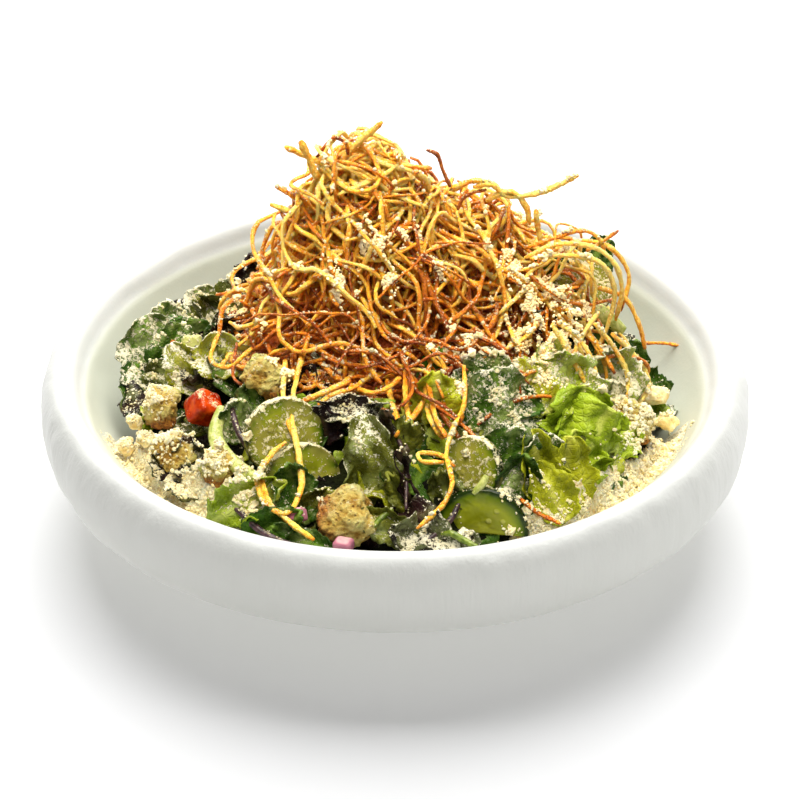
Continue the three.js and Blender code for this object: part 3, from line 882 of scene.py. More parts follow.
def cucumberMaterial(radius, cheese):
    flesh = Shader("cucumber")
    depth = flesh.mark("fromSkin")
    patch = flesh.noise(150, 3, 0.6)
    wander = depth + (patch - 0.5) * 1.6
    colour = flesh.ramp(wander * (1 / radius), [
        (0.0, srgb(18, 34, 4)), (0.08, srgb(36, 58, 6)), (0.15, srgb(96, 118, 14)),
        (0.34, srgb(150, 158, 34)), (0.62, srgb(126, 132, 18)), (1.0, srgb(160, 162, 48)),
    ])
    seeds = flesh.cells(260).step(0.36, 0.16) * wander.step(radius * 0.3, radius * 0.42)
    colour = flesh.mix(seeds * 0.5, colour, srgb(200, 198, 112))
    film = (flesh.noise(110, 3, 0.6) + cheese * 0.2).step(0.54, 0.74)
    colour = flesh.mix(film * (0.34 + cheese * 0.42), colour, srgb(162, 154, 74))
    upward = flesh.upward()
    grain = flesh.noise(720, 3, 0.75)
    powder = (grain * 0.9 + flesh.noise(240, 3, 0.6) * 0.5 + upward * 0.35 + cheese * 0.3).step(1.12, 1.2)
    colour = flesh.mix(powder * 0.85, colour, srgb(246, 238, 200))
    bump = flesh.bump(powder + seeds * 0.5 + patch * 0.5, 0.0008, 0.7)
    return flesh.finish(Base_Color=colour, Roughness=powder * 0.5 + 0.26, Normal=bump, Specular_IOR_Level=0.3,
                        Subsurface_Weight=0.3, Subsurface_Radius=(1.0, 0.9, 0.3), Subsurface_Scale=0.002)


def makeCucumber():
    for seed, (name, (yaw, tilt, radius, half, cheese)) in enumerate(cucumber["slices"].items()):
        points, faceSets, marks, uv = slicePlate(radius, half, seed + 3)
        middle, _ = frameBox(name)
        turned = points @ facing(yaw, tilt)
        turned += middle - (turned.min(0) + turned.max(0)) / 2
        material = cucumberMaterial(radius, cheese)
        piece = makePiece(name.replace("_", ""), turned, faceSets, material, marks, uv)
        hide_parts(name)


print("cucumber")
makeCucumber()


def lump(name, seed, boxiness, relief, cell, grit, browned, grid):
    # a closed lump that fills a CAD node's box: the unit sphere's points are moved out until
    # |x|^p + |y|^p + |z|^p = 1, stretched to the box, and roughened along their direction; it is
    # browned on the side that looks along browned
    ball = sphere(*grid)
    tilt = np.linalg.qr(np.random.default_rng(seed).normal(0, 1, (3, 3)))[0]
    turned = ball @ tilt
    shape = ball / (np.sum(np.abs(turned) ** boxiness, -1, keepdims=True)) ** (1 / boxiness)
    middle, size = frameBox(name)
    points = shape / np.abs(shape).max(0) * size / 2
    rough = roughNoise(points + 31 * seed, cell, 4, seed)
    pitted = roughNoise(points + 17 * seed, 2.4, 2, seed + 1)
    points += ball * (relief * (rough - 0.35) + grit * (pitted - 0.4))[:, None]
    marks = {"rough": rough + pitted * 0.5, "brown": ball @ np.array(browned) + 0.55 * rough}
    return points + middle, cappedFaces(*grid), marks


lumps = dict(
    crouton=dict(boxiness=3.6, relief=1.5, cell=9, grit=1.0, browned=(0.2, -0.3, -0.9), grid=(80, 120)),
    tomato_piece=dict(boxiness=4.5, relief=0.6, cell=9, grit=0.1, browned=(0, 0, -1), grid=(40, 60)),
    cheese_lump=dict(boxiness=3.2, relief=0.7, cell=6, grit=0.5, browned=(0, 0, -1), grid=(40, 60)),
    onion_piece=dict(boxiness=5.0, relief=0.15, cell=5, grit=0.05, browned=(0, 0, -1), grid=(32, 48)),
    cucumber_chunk=dict(boxiness=4.0, relief=0.5, cell=6, grit=0.1, browned=(0, 0, -1), grid=(40, 60)),
)
frontCroutonBrowned = (-0.95, -0.1, 0.1)


def powdered(shader, amount):
    # share of the surface under grated cheese: more where it faces up
    upward = shader.upward()
    grain = shader.noise(1400, 2, 0.6)
    clump = shader.noise(230, 3, 0.6)
    return (grain * 0.5 + clump * 0.7 + upward * 0.4 + amount).step(1.0, 1.16)


def croutonMaterial():
    bread = Shader("crouton")
    patch = bread.noise(95, 3, 0.6)
    crumb = bread.noise(700, 4, 0.7)
    pores = bread.cells(520).step(0.32, 0.1)
    tone = patch * 0.7 + bread.mark("rough") * 0.3 + crumb * 0.35
    colour = bread.ramp(tone, [
        (0.25, srgb(178, 132, 44)), (0.42, srgb(216, 186, 92)), (0.6, srgb(230, 214, 134)),
        (0.85, srgb(204, 204, 104)),
    ])
    brown = (bread.mark("brown") + crumb * 0.6 + patch * 0.5).step(0.85, 1.3)
    colour = bread.mix(brown, colour, bread.mix(crumb.step(0.3, 0.7), srgb(112, 50, 6), srgb(206, 140, 50)))
    colour = bread.mix(pores * 0.5, colour, srgb(140, 86, 24))
    powder = powdered(bread, 0.0)
    colour = bread.mix(powder * 0.75, colour, srgb(243, 233, 188))
    bump = bread.bump(crumb * 1.3 - pores + powder * 0.4, 0.0016, 1.0)
    return bread.finish(Base_Color=colour, Roughness=0.72, Normal=bump,
                        Subsurface_Weight=0.2, Subsurface_Radius=(1.0, 0.7, 0.3), Subsurface_Scale=0.002)


def tomatoMaterial():
    tomato = Shader("tomato")
    patch = tomato.noise(160, 3, 0.6)
    colour = tomato.mix(patch.step(0.35, 0.7), srgb(146, 22, 0), srgb(214, 72, 10))
    powder = powdered(tomato, 0.08)
    colour = tomato.mix(powder * 0.9, colour, srgb(246, 224, 178))
    bump = tomato.bump(patch * 0.5 + powder, 0.0008, 0.6)
    return tomato.finish(Base_Color=colour, Roughness=powder * 0.5 + 0.24, Normal=bump,
                         Specular_IOR_Level=0.3, Subsurface_Weight=0.15,
                         Subsurface_Radius=(1.0, 0.3, 0.05), Subsurface_Scale=0.002)


def cheeseMaterial(name="cheese", crumbly=0.0, low=(230, 202, 130), high=(252, 238, 192)):
    cheese = Shader(name)
    patch = cheese.noise(240, 3, 0.6)
    grain = cheese.noise(1300, 3, 0.7)
    lumpy = cheese.noise(480, 2, 0.6)
    colour = cheese.mix((patch + (grain - 0.5) * crumbly).step(0.3, 0.7), srgb(*low), srgb(*high))
    # darker where the lumpy noise is low, the more so the crumblier: painted shade in the gaps between crumbs
    colour = cheese.mix(lumpy.step(0.48, 0.34) * (0.7 * crumbly), colour, srgb(206, 176, 112))
    bump = cheese.bump(grain + lumpy * (2.5 * crumbly), 0.0003 + 0.0009 * crumbly, 0.9)
    return cheese.finish(Base_Color=colour, Roughness=0.65, Normal=bump,
                         Subsurface_Weight=0.4, Subsurface_Radius=(1.0, 0.8, 0.5), Subsurface_Scale=0.002)


def onionMaterial():
    onion = Shader("onion")
    patch = onion.noise(200, 2)
    upward = onion.upward()
    colour = onion.mix(patch, srgb(150, 74, 104), srgb(206, 138, 158))
    colour = onion.mix((upward + patch * 0.4).step(1.05, 1.3) * 0.6, colour, srgb(236, 204, 200))
    return onion.finish(Base_Color=colour, Roughness=0.3, Normal=onion.bump(patch, 0.0004, 0.5),
                        Subsurface_Weight=0.2, Subsurface_Radius=(1.0, 0.6, 0.8), Subsurface_Scale=0.002)


def chunkMaterial():
    # the pale cut end of a cucumber stick over its dark skin
    chunk = Shader("cucumberChunk")
    height = chunk.rise(chunk.place())
    middle, _ = frameBox("cucumber_chunk_1")
    level = (height + chunk.noise(300) * 0.002).step((middle[2] + 1) * mm, (middle[2] + 3) * mm)
    colour = chunk.mix(level, srgb(62, 84, 12), srgb(200, 202, 120))
    bump = chunk.bump(chunk.noise(600, 3), 0.0005, 0.5)
    return chunk.finish(Base_Color=colour, Roughness=0.3, Normal=bump)


def makeLumps():
    materials = dict(crouton=croutonMaterial(), tomato_piece=tomatoMaterial(), cheese_lump=cheeseMaterial(),
                     onion_piece=onionMaterial(), cucumber_chunk=chunkMaterial())
    for seed, name in enumerate(sorted(cadNodes)):
        kind = name.rsplit("_", 1)[0]
        if kind not in lumps:
            continue
        settings = dict(lumps[kind])
        if name == "crouton_1":
            settings["browned"] = frontCroutonBrowned
        points, faceSets, marks = lump(name, seed, **settings)
        piece = makePiece(name.replace("_", ""), points, faceSets, materials[kind], marks)
        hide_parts(name)


print("croutons, tomato, cheese lumps and onion")
makeLumps()


# pale and green ribs and dark stems, each as kind, width, thickness, cup and the points along
# its middle
ribStrips = [
    ("pale", 6.5, 1.8, 0.8, [(-66, -48, 70), (-68, -60, 67), (-66, -70, 66), (-60, -80, 65), (-51, -87, 63)]),
    ("green", 2.6, 1.2, 0.9, [(17, -112, 56), (21, -114, 57), (26, -116, 55), (30, -118, 54)]),
    ("green", 2.2, 1.0, 0.9, [(-9, -111, 57), (-5, -108, 60), (-1, -105, 62)]),
    ("pale", 2.8, 2.2, 0.5, [(29, -98, 64), (32, -97, 67), (34, -95, 70)]),
    ("pale", 6.5, 2.0, 0.5, [(70, 12, 84), (80, 6, 80), (90, 4, 72)]),
    ("dark", 1.6, 1.0, 0.8, [(-9, -66, 76), (-3, -72, 77), (2, -80, 74), (4, -92, 68), (4, -104, 61)]),
    ("dark", 2.4, 1.4, 0.8, [(-62, -52, 72), (-60, -62, 70), (-56, -70, 66)]),
    ("dark", 2.6, 1.5, 0.6, [(-60, -98, 58), (-48, -110, 54), (-34, -117, 52)]),
    ("dark", 2.2, 1.3, 0.6, [(24, -98, 60), (20, -106, 57), (12, -114, 54)]),
]


ribColours = dict(pale=((150, 166, 66), (212, 216, 140)), green=((70, 96, 12), (140, 158, 56)),
                  dark=((34, 20, 28), (84, 58, 66)))


def ribMaterial(kind):
    rib = Shader(kind + "Rib")
    streak = rib.noise(420, 3, 0.6)
    low, high = ribColours[kind]
    colour = rib.mix(streak.step(0.3, 0.7), srgb(*low), srgb(*high))
    powder = powdered(rib, -0.02)
    colour = rib.mix(powder * 0.8, colour, srgb(240, 231, 188))
    bump = rib.bump(streak + powder, 0.0006, 0.6)
    return rib.finish(Base_Color=colour, Roughness=powder * 0.5 + 0.28, Normal=bump,
                      Subsurface_Weight=0.25, Subsurface_Radius=(1.0, 0.9, 0.4), Subsurface_Scale=0.003)


def ribStrip(width, thick, cup, places):
    # a strip carried along its middle line, cupped across and facing up and forward
    steps, columns = 40, 11
    line = smoothPath(places, steps)
    along = unit(np.gradient(line, axis=0))
    across = unit(np.cross(along, [0.1, -0.75, 0.65]))
    face = np.cross(across, along)
    v = np.linspace(-1, 1, columns)[:, None]
    taper = np.clip(np.sin(np.linspace(0.25, np.pi - 0.25, steps)), 0.2, 1) ** 0.4
    half = (width / 2 * taper)[:, None, None]
    cupped = across[:, None] * np.sin(cup * v) + face[:, None] * (np.cos(cup * v) - 1)
    body = thick * (1 - 0.6 * v[:, 0] ** 2) + np.zeros((steps, 1))
    return (*sheets((line[:, None] + half * cupped / cup)[None], body[None]), {})


def makeRibs():
    for kind in ribColours:
        points, faceSets, _ = joined([ribStrip(*strip[1:]) for strip in ribStrips if strip[0] == kind])
        piece = makePiece(kind + "Ribs", points, faceSets, ribMaterial(kind))


print("ribs and stems")
makeRibs()


def tubes(paths, radii):
    # a tube round each path: radii hold paths x steps x sides; the sides' frame is carried
    # along the path, and a point closes each end
    count, steps, sides = radii.shape
    along = unit(np.gradient(paths, axis=1))
    side = np.empty_like(along)
    side[:, 0] = unit(np.cross(along[:, 0], [0.31, 0.52, 0.79]))
    for k in range(1, steps):
        carried = side[:, k - 1] - along[:, k] * np.sum(side[:, k - 1] * along[:, k], -1, keepdims=True)
        side[:, k] = unit(carried)
    up = np.cross(along, side)
    turn = np.arange(sides) * 2 * np.pi / sides
    ring = side[:, :, None] * np.cos(turn)[:, None] + up[:, :, None] * np.sin(turn)[:, None]
    skin = (paths[:, :, None] + ring * radii[..., None]).reshape(count, -1, 3)
    start = paths[:, 0] - along[:, 0] * radii[:, 0].mean(-1, keepdims=True) * 0.5
    end = paths[:, -1] + along[:, -1] * radii[:, -1].mean(-1, keepdims=True) * 0.5
    points = np.concatenate([skin, start[:, None], end[:, None]], 1)
    faceSets = cappedFaces(steps, sides, clockwise=True)
    return points.reshape(-1, 3), repeated(faceSets, count, points.shape[1])


straws = dict(
    sides=5,
    step=2.7,                        # distance between rings of points along a strand
    lengths=((16, 40, 0.18), (40, 84, 0.42), (84, 140, 0.4)),     # shortest, longest, share
    kinds=dict(
        paleStraws=dict(count=380, radius=(0.72, 1.08), depth=(-8, 2.8), tone=(0.04, 0.3)),
        goldenStraws=dict(count=480, radius=(0.66, 1.02), depth=(-12, 2.2), tone=(0.24, 0.52)),
        brownStraws=dict(count=560, radius=(0.48, 0.9), depth=(-16, 1.8), tone=(0.46, 0.8)),
    ),
    airyShare=0.12, airyDepth=(2.5, 7.0),      # strands that stand clear of the heap
    nestShare=1.2,                   # how many strands may cross the open nest
    bundle=24.0, stray=0.8,          # size of areas where strands run alike, and how far they stray
    flow=0.5,                        # how far the strands run down the slope
    curl=(0.056, 0.0336),            # sideways bend of two waves, in radians a millimetre
    kink=0.6,                        # small bumps off the smooth path
    wave=2.4,                        # how far a strand weaves in and out
    waveLengths=((26, 60), (60, 150), (16, 45)),         # of the two bends and of the weaving
    steer=0.035, steerLimit=0.09,    # how hard a strand is turned towards its depth
    level=0.12,                      # how hard it is turned to lie along the surface
    inside=0.8,                      # least share of a strand that stays on the mound
    mottle=0.09,                     # how unevenly a strand is browned, ring by ring and side by side
)


def placesOn(random, weight, count):
    # random places on the heaps' grid, the more the greater the weight
    picked = random.choice(weight.size, count, p=(weight / weight.sum()).ravel())
    place = np.stack(np.unravel_index(picked, weight.shape), -1) * mound.spacing - mound.reach
    return place + random.uniform(-1, 1, (count, 2))


def strandPaths(random, count, steps, length, depth):
    # strands walk over the mound one step at a time: the heading bends sideways as a sum of two
    # slow waves, and is steered to a depth below the surface that weaves and rises at the ends
    area = np.hypot(1, np.hypot(mound.slopeX, mound.slopeY))
    place = placesOn(random, area * (moundHeight > 3), count)
    normal = mound.normal(*place.T)
    downhill = normal * [1, 1, 0]
    downhill[:, 2] = -np.linalg.norm(normal[:, :2], axis=-1)
    spot = np.concatenate([place, np.zeros((count, 1))], -1)
    angle = 5 * latticeNoise(spot, straws["bundle"], 51) + random.normal(0, straws["stray"], count)
    heading = np.stack([np.cos(angle), np.sin(angle), 0 * angle], -1)
    heading = unit(heading + straws["flow"] * downhill * random.choice([-1, 1.6], (count, 1)))
    waves = random.uniform(0, 2 * np.pi, (3, count))
    shortest, longest = np.array(straws["waveLengths"]).T[..., None]
    rate = 2 * np.pi / random.uniform(shortest, longest, (3, count))
    curl = random.normal(0, 1, (2, count)) * np.array(straws["curl"])[:, None]
    ends = random.uniform(0, 1, (2, count)) ** 5 * 11
    surface = mound.height(*place.T)
    point = np.concatenate([place, surface[:, None]], -1) + normal * depth[:, None]
    path = np.empty((count, steps, 3))
    stride = length / (steps - 1)
    for k in range(steps):
        path[:, k] = point
        run = k * stride
        share = k / (steps - 1)
        normal = mound.normal(*point[:, :2].T)
        gap = (point[:, 2] - mound.height(*point[:, :2].T)) * normal[:, 2]
        lift = ends[0] * smoothStep(share, 0.3, 0) + ends[1] * smoothStep(share, 0.7, 1)
        wish = depth + straws["wave"] * np.sin(rate[2] * run + waves[2]) + lift
        bend = curl[0] * np.sin(rate[0] * run + waves[0]) + curl[1] * np.sin(rate[1] * run + waves[1])
        steer = np.clip((wish - gap) * straws["steer"], -straws["steerLimit"], straws["steerLimit"])
        steer -= np.sum(heading * normal, -1) * straws["level"]
        sideways = unit(np.cross(normal, heading))
        turning = sideways * bend[:, None] + normal * steer[:, None]
        heading = unit(heading + turning * stride[:, None])
        point = point + heading * stride[:, None]
        lowest = np.maximum(wellHeight(np.hypot(*point[:, :2].T)) + 2, salad.height(*point[:, :2].T) + 1)
        point[:, 2] = np.maximum(point[:, 2], lowest)
    inside = mound.read(moundHeight, path[..., 0], path[..., 1]) > 2
    crossing = np.mean(path[..., 0] > core["looseTo"] - 10, axis=1)
    kept = np.mean(inside, axis=1) > straws["inside"]
    kept &= crossing < straws["nestShare"] * random.uniform(0, 1, count) ** 2
    bumps = [latticeNoise(path + 40 * k, 5.5, 60 + k) for k in range(3)]
    return path + straws["kink"] * np.stack(bumps, -1), kept


def strandMesh(random, paths, radius, tone):
    # blunt ended strands, a little knobbly, browner towards their ends
    count, steps = paths.shape[:2]
    share = np.linspace(0, 1, steps)
    taper = 1 - 0.3 * smoothStep(np.abs(share - 0.5), 0.42, 0.5)
    swell = np.sin(share * random.uniform(8, 26, (count, 1)) + random.uniform(0, 6, (count, 1)))
    sides = straws["sides"]
    knobs = random.uniform(0.82, 1.18, (count, steps, sides))
    radii = (radius[:, None] * taper * (1 + 0.12 * swell))[..., None] * knobs
    points, faceSets = tubes(paths, radii)
    patchy = np.sin(share * random.uniform(3, 12, (count, 1)) + random.uniform(0, 6, (count, 1)))
    browned = tone[:, None] + 0.22 * smoothStep(np.abs(share - 0.5), 0.38, 0.5) + 0.1 * patchy
    tones = browned[..., None] + straws["mottle"] * random.normal(0, 1, (count, steps, sides))
    tones = np.concatenate([tones.reshape(count, -1), browned[:, :1], browned[:, -1:]], 1)
    return points, faceSets, {"tone": tones.ravel()}


def strawMaterial():
    straw = Shader("potatoStraw")
    grain = straw.noise(900, 3, 0.7)
    fine = straw.noise(2300, 2, 0.7)
    patch = straw.noise(170, 3, 0.6)
    tone = straw.mark("tone") + (patch - 0.5) * 0.8 + (grain - 0.5) * 0.8 + (fine - 0.5) * 0.5
    colour = straw.ramp(tone, [
        (0.0, srgb(255, 219, 118)), (0.26, srgb(252, 192, 66)), (0.5, srgb(230, 143, 20)),
        (0.74, srgb(188, 98, 8)), (1.0, srgb(128, 54, 4)),
    ])
    upward = straw.upward()
    dust = (upward.step(0.1, 0.8) * 0.3 + straw.noise(1500, 2, 0.7) + straw.noise(90, 2) * 0.5).step(1.1, 1.2)
    colour = straw.mix(dust * 0.55, colour, srgb(255, 236, 194))
    bump = straw.bump(grain * 1.6 + fine * 0.6 + dust, 0.0011, 1.0)
    return straw.finish(Base_Color=colour, Roughness=dust * 0.4 + 0.3, Normal=bump, Specular_IOR_Level=0.4,
                        Subsurface_Weight=0.5, Subsurface_Radius=(1.0, 0.62, 0.22), Subsurface_Scale=0.0015)


# strands that stand out, each as radius, tone and the points it passes, in millimetres
looseStrands = [
    (1.3, 0.1, [(-24, 8, 138), (-17, 8, 151), (-5, 8, 163)]),
    (1.3, 0.15, [(-20, 5, 142), (-32, 5, 149), (-42, 5, 154)]),
    (1.5, 0.2, [(-30, 2, 142), (-33, 2, 151), (-36, 2, 158)]),
    (0.7, 0.85, [(-30, 6, 149), (-24, 6, 157), (-19, 6, 155), (-18, 6, 150)]),
    (0.9, 0.3, [(-12, 8, 149), (-2, 7, 146), (6, 6, 145), (14, 6, 144)]),
    (0.8, 0.85, [(12, 6, 152), (16, 6, 150), (18, 6, 144), (21, 6, 136)]),
    (1.2, 0.25, [(22, 5, 136), (30, 5, 139), (37, 5, 138)]),
    (0.7, 0.8, [(24, 4, 127), (27, 4, 133), (35, 4, 136)]),
    (1.2, 0.2, [(30, 4, 137), (37, 4, 138), (43, 4, 133), (54, 4, 134), (63, 4, 138), (70, 4, 142)]),
    (1.2, 0.25, [(35, 4, 131), (44, 4, 135), (50, 4, 129), (52, 3, 121)]),
    (1.2, 0.3, [(57, 2, 112), (55, 2, 120), (54, 2, 128)]),
    (0.9, 0.55, [(50, 0, 112), (60, 0, 116), (72, 0, 120), (79, 0, 116), (81, 0, 110)]),
    (0.8, 0.6, [(74, 0, 111), (80, 0, 115), (86, 0, 120)]),
    (1.05, 0.12, [(50, -4, 110), (62, -4, 116), (76, -4, 115), (85, -4, 107), (88, -4, 95), (86, -4, 82)]),
    (1.0, 0.16, [(52, -8, 112), (66, -7, 113), (79, -6, 109), (85, -6, 97), (83, -7, 82), (78, -9, 70)]),
    (1.0, 0.4, [(60, 4, 108), (72, 4, 113), (84, 3, 110), (91, 2, 98), (88, 0, 84)]),
    (1.0, 0.45, [(78, -2, 96), (89, -2, 91), (95, -3, 80), (98, -4, 69)]),
    (1.05, 0.14, [(60, -28, 95), (68, -33, 82), (76, -38, 69), (82, -44, 61)]),
    (1.05, 0.14, [(77, -18, 89), (85, -19, 78), (90, -21, 68), (90, -26, 60)]),
    (1.05, 0.14, [(84, -14, 82), (94, -12, 70), (99, -16, 60), (92, -30, 56)]),
    (0.8, 0.3, [(70, -30, 88), (73, -31, 78), (72, -35, 70)]),
    (1.15, 0.2, [(-33, -34, 93), (-37, -46, 84), (-39, -66, 79), (-36, -83, 71), (-35, -95, 64),
                  (-40, -105, 60), (-48, -102, 62), (-51, -92, 67), (-46, -82, 71), (-41, -77, 73)]),
    (1.1, 0.24, [(-42, -37, 84), (-42, -62, 80), (-37, -78, 72), (-35, -91, 66)]),
    (1.15, 0.24, [(-50, -91, 68), (-47, -100, 62), (-39, -108, 58), (-30, -115, 55)]),
    (1.0, 0.26, [(26, -50, 90), (26, -64, 82), (22, -76, 79), (19, -88, 75), (21, -100, 70),
                 (17, -108, 65), (8, -115, 60)]),
    (0.9, 0.28, [(22, -92, 72), (17, -89, 75), (9, -89, 76), (10, -93, 75), (18, -92, 74)]),
    (0.85, 0.9, [(31, -68, 75), (42, -60, 79), (54, -56, 80), (65, -50, 74), (72, -50, 67)]),
    (0.8, 0.85, [(13, -60, 80), (25, -71, 77), (36, -82, 71)]),
    (0.85, 0.8, [(46, -98, 62), (53, -102, 58), (61, -106, 56)]),
    (0.95, 0.7, [(-97, 28, 58), (-90, 14, 62), (-85, 2, 66), (-84, -8, 67)]),
    (0.7, 0.7, [(98, 34, 48), (108, 34, 48), (115, 32, 48)]),
    (1.2, 0.28, [(-35, -61, 81), (-27, -58, 83), (-17, -53, 85)]),
    (1.1, 0.35, [(13, -50, 90), (10, -62, 80), (0, -79, 77)]),
    (1.1, 0.3, [(12, -44, 82), (12, -53, 80), (12, -62, 79), (14, -69, 76), (18, -73, 72)]),
    (1.2, 0.4, [(14, -46, 82), (11, -56, 79), (6, -65, 75), (1, -73, 72)]),
    (1.2, 0.6, [(6, -44, 82), (5, -53, 79), (5, -62, 77), (6, -71, 74)]),
    (1.2, 0.35, [(-3, -46, 81), (-2, -55, 80), (0, -64, 77), (2, -70, 76)]),
    (1.0, 0.45, [(16, -46, 82), (17, -55, 80), (19, -62, 80)]),
    (1.1, 0.3, [(-16, -46, 84), (-22, -55, 82), (-29, -62, 80)]),
    (1.1, 0.32, [(-9, -46, 83), (-16, -55, 83), (-25, -62, 84)]),
    (1.0, 0.55, [(22, -46, 80), (23, -55, 79), (25, -63, 77), (24, -68, 75)]),
    (1.1, 0.4, [(12, -54, 88), (15, -68, 79), (19, -78, 76)]),
    (1.2, 0.35, [(4, -48, 92), (4, -61, 82), (6, -74, 77)]),
    (0.9, 0.25, [(-68, -20, 86), (-71, -28, 79), (-64, -32, 78), (-55, -28, 84)]),
    (0.7, 0.85, [(-61, -24, 84), (-62, -36, 76), (-54, -42, 76), (-45, -38, 82)]),
    (0.9, 0.4, [(-32, 8, 124), (-40, 8, 131), (-46, 8, 135)]),
    (1.2, 0.1, [(-10, -6, 136), (-26, 0, 130), (-38, 2, 127), (-48, 3, 130)]),
    (0.8, 0.7, [(-34, 2, 114), (-40, 2, 121), (-44, 2, 127)]),
    (1.0, 0.16, [(58, -12, 96), (65, -17, 89), (71, -22, 81), (74, -26, 72)]),
    (0.95, 0.2, [(79, -11, 90), (74, -17, 86), (69, -25, 80), (66, -32, 72)]),
    (0.9, 0.5, [(60, -8, 92), (69, -14, 86), (78, -19, 80), (85, -24, 70)]),
    (0.9, 0.2, [(62, -26, 94), (70, -28, 89), (76, -33, 80), (78, -38, 70)]),
]


def browningAndPaintedLight(middle, depth):
    # added to a strand's tone: browner near the middle of the front and paler in the open nest;
    # browner the deeper it lies and at the foot of the heap, and paler on top, as painted shade and light
    fromFront = np.hypot(middle[:, 0] - 8, middle[:, 1] + 16) / 27
    low = smoothStep(middle[:, 2], 102, 84)
    pale = smoothStep(middle[:, 2], 100, 132) + smoothStep(middle[:, 0], 40, 56)
    return 0.26 * np.exp(-fromFront ** 2 / 2) + 0.26 * low - 0.28 * pale - 0.012 * np.minimum(depth, 2)


def makeStraws():
    material = strawMaterial()
    for seed, (name, kind) in enumerate(straws["kinds"].items()):
        random = np.random.default_rng(40 + seed)
        parts = []
        for shortest, longest, share in straws["lengths"]:
            count = int(kind["count"] * share)
            steps = int((shortest + longest) / 2 / straws["step"])
            length, depth = random.uniform(shortest, longest, count), random.uniform(*kind["depth"], count)
            airy = random.uniform(0, 1, count) < straws["airyShare"]
            depth = np.where(airy, random.uniform(*straws["airyDepth"], count), depth)
            paths, kept = strandPaths(random, count, steps, length, depth)
            radius = random.uniform(*kind["radius"], count)
            tone = random.uniform(*kind["tone"], count) + browningAndPaintedLight(paths[:, steps // 2], depth)
            parts.append(strandMesh(random, paths[kept], radius[kept], tone[kept]))
        for radius, tone, places in looseStrands:
            owner = "paleStraws" if tone < 0.28 else "brownStraws" if tone >= 0.5 else "goldenStraws"
            if name == owner:
                path = smoothPath(places, 9 * len(places) - 6)[None]
                paler = 0.12 * smoothStep(path[..., 0].mean(), 36, 50)
                parts.append(strandMesh(random, path, np.array([radius]), np.array([tone - paler])))
        points, faceSets, marks = joined(parts)
        piece = makePiece(name, points, faceSets, material, marks)
        print(name, sum(len(faces) * (faces.shape[1] - 2) for faces in faceSets))


print("potato straws")
makeStraws()


grated = dict(
    # grains: how many fall, smallest and largest, spread of a cluster, and how many more are
    # dropped on the straws and on the banks
    kinds=dict(
        Fine=dict(count=12600, size=(0.2, 0.44), cluster=3.4, onStraws=5600, onBanks=4000),
        Crumbs=dict(count=2800, size=(0.42, 0.86), cluster=3.0, onStraws=300, onBanks=5700),
        Bits=dict(count=150, size=(0.8, 1.8), cluster=9.0, onStraws=0, onBanks=190),
    ),
    # where the cheese lies thick: x, y, spread and weight
    heavy=[(-84, -40, 15, 0.05), (-74, -66, 14, 0.035), (-90, -8, 14, 0.06), (-74, 30, 16, 0.08),
           (-60, -84, 12, 0.03), (42, -64, 14, 0.08), (64, -34, 12, 0.07), (95, -46, 12, 0.10),
           (90, -74, 8, 0.05), (98, -20, 10, 0.05), (30, -112, 14, 0.04), (-24, -60, 10, 0.03),
           (-104, -48, 9, 0.05), (-84, -84, 9, 0.03), (103, -48, 9, 0.05), (100, -56, 8, 0.05)],
    inHeavy=0.72,                    # share of the falling grains that land in the thick places
    reach=108,                       # furthest that the others fall from the middle
    together=9,                      # grains in one small cluster
    # pieces that stay nearly bare: x, y, radius; grains on the banks below a level stay anyway
    bare=[(74, -66, 22), (82, -62, 17), (74, -80, 12), (60, -86, 15), (47, -104, 11), (42, -82, 14),
          (32, -102, 16), (-41, -76, 17), (-73, -48, 8), (-18, -104, 9), (-60, -78, 7), (-80, -66, 9),
          (-66, -66, 8)],
    lowest=53,
    bareShare=0.93,                  # share of the grains kept off the middle of a bare piece
    tomatoRoom=11,                   # no grain comes nearer to the middle of the tomato piece
    # fluffy clumps caught in the straws: x, y, spread
    clumps=[(-11, -18, 5.0), (-5, -21, 4.0), (3, -13, 3.0), (17, -19, 3.0), (-2, -27, 4.0), (-22, -28, 5.0),
            (46, -10, 4.6), (37, -14, 2.4), (55, -20, 4.2), (65, -21, 4.6), (22, -30, 2.0), (28, -35, 2.8),
            (-25, 4, 2.2), (-37, -12, 2.2), (9, -8, 1.8), (20, 34, 5.0), (-10, 46, 5.0), (50, 26, 5.0),
            (59, -9, 5.0), (52, -15, 6.0), (64, -14, 5.0), (48, -23, 5.5), (70, -16, 4.0), (56, -30, 5.0),
            (70, -21, 4.2), (62, -24, 5.0), (74, -8, 3.5), (44, -4, 4.0), (67, 2, 4.0), (-64, 26, 4.5),
            (-66, 13, 3.6), (-61, 2, 3.4), (-47, -41, 3.2), (-41, -45, 3.0), (24, -58, 2.4),
            (57, -46, 4.0), (66, -44, 4.0)],
    smallClumps=36, smallSpread=(0.7, 2.0),
    perClump=9.6,                    # crumbs in a clump of spread 1, growing with its square
    clumpCrumb=(0.3, 0.76),          # smallest and largest crumb in a clump
    clumpHeight=0.4,                 # of its spread
)


banks = dict(
    spans=[(-166, -114, 99, 117), (-73, -10, 102, 117)],       # first, last angle, inner, outer radius
    thick=2.6,
    relief=2.6, cell=2.1,
    spacing=0.7,
)


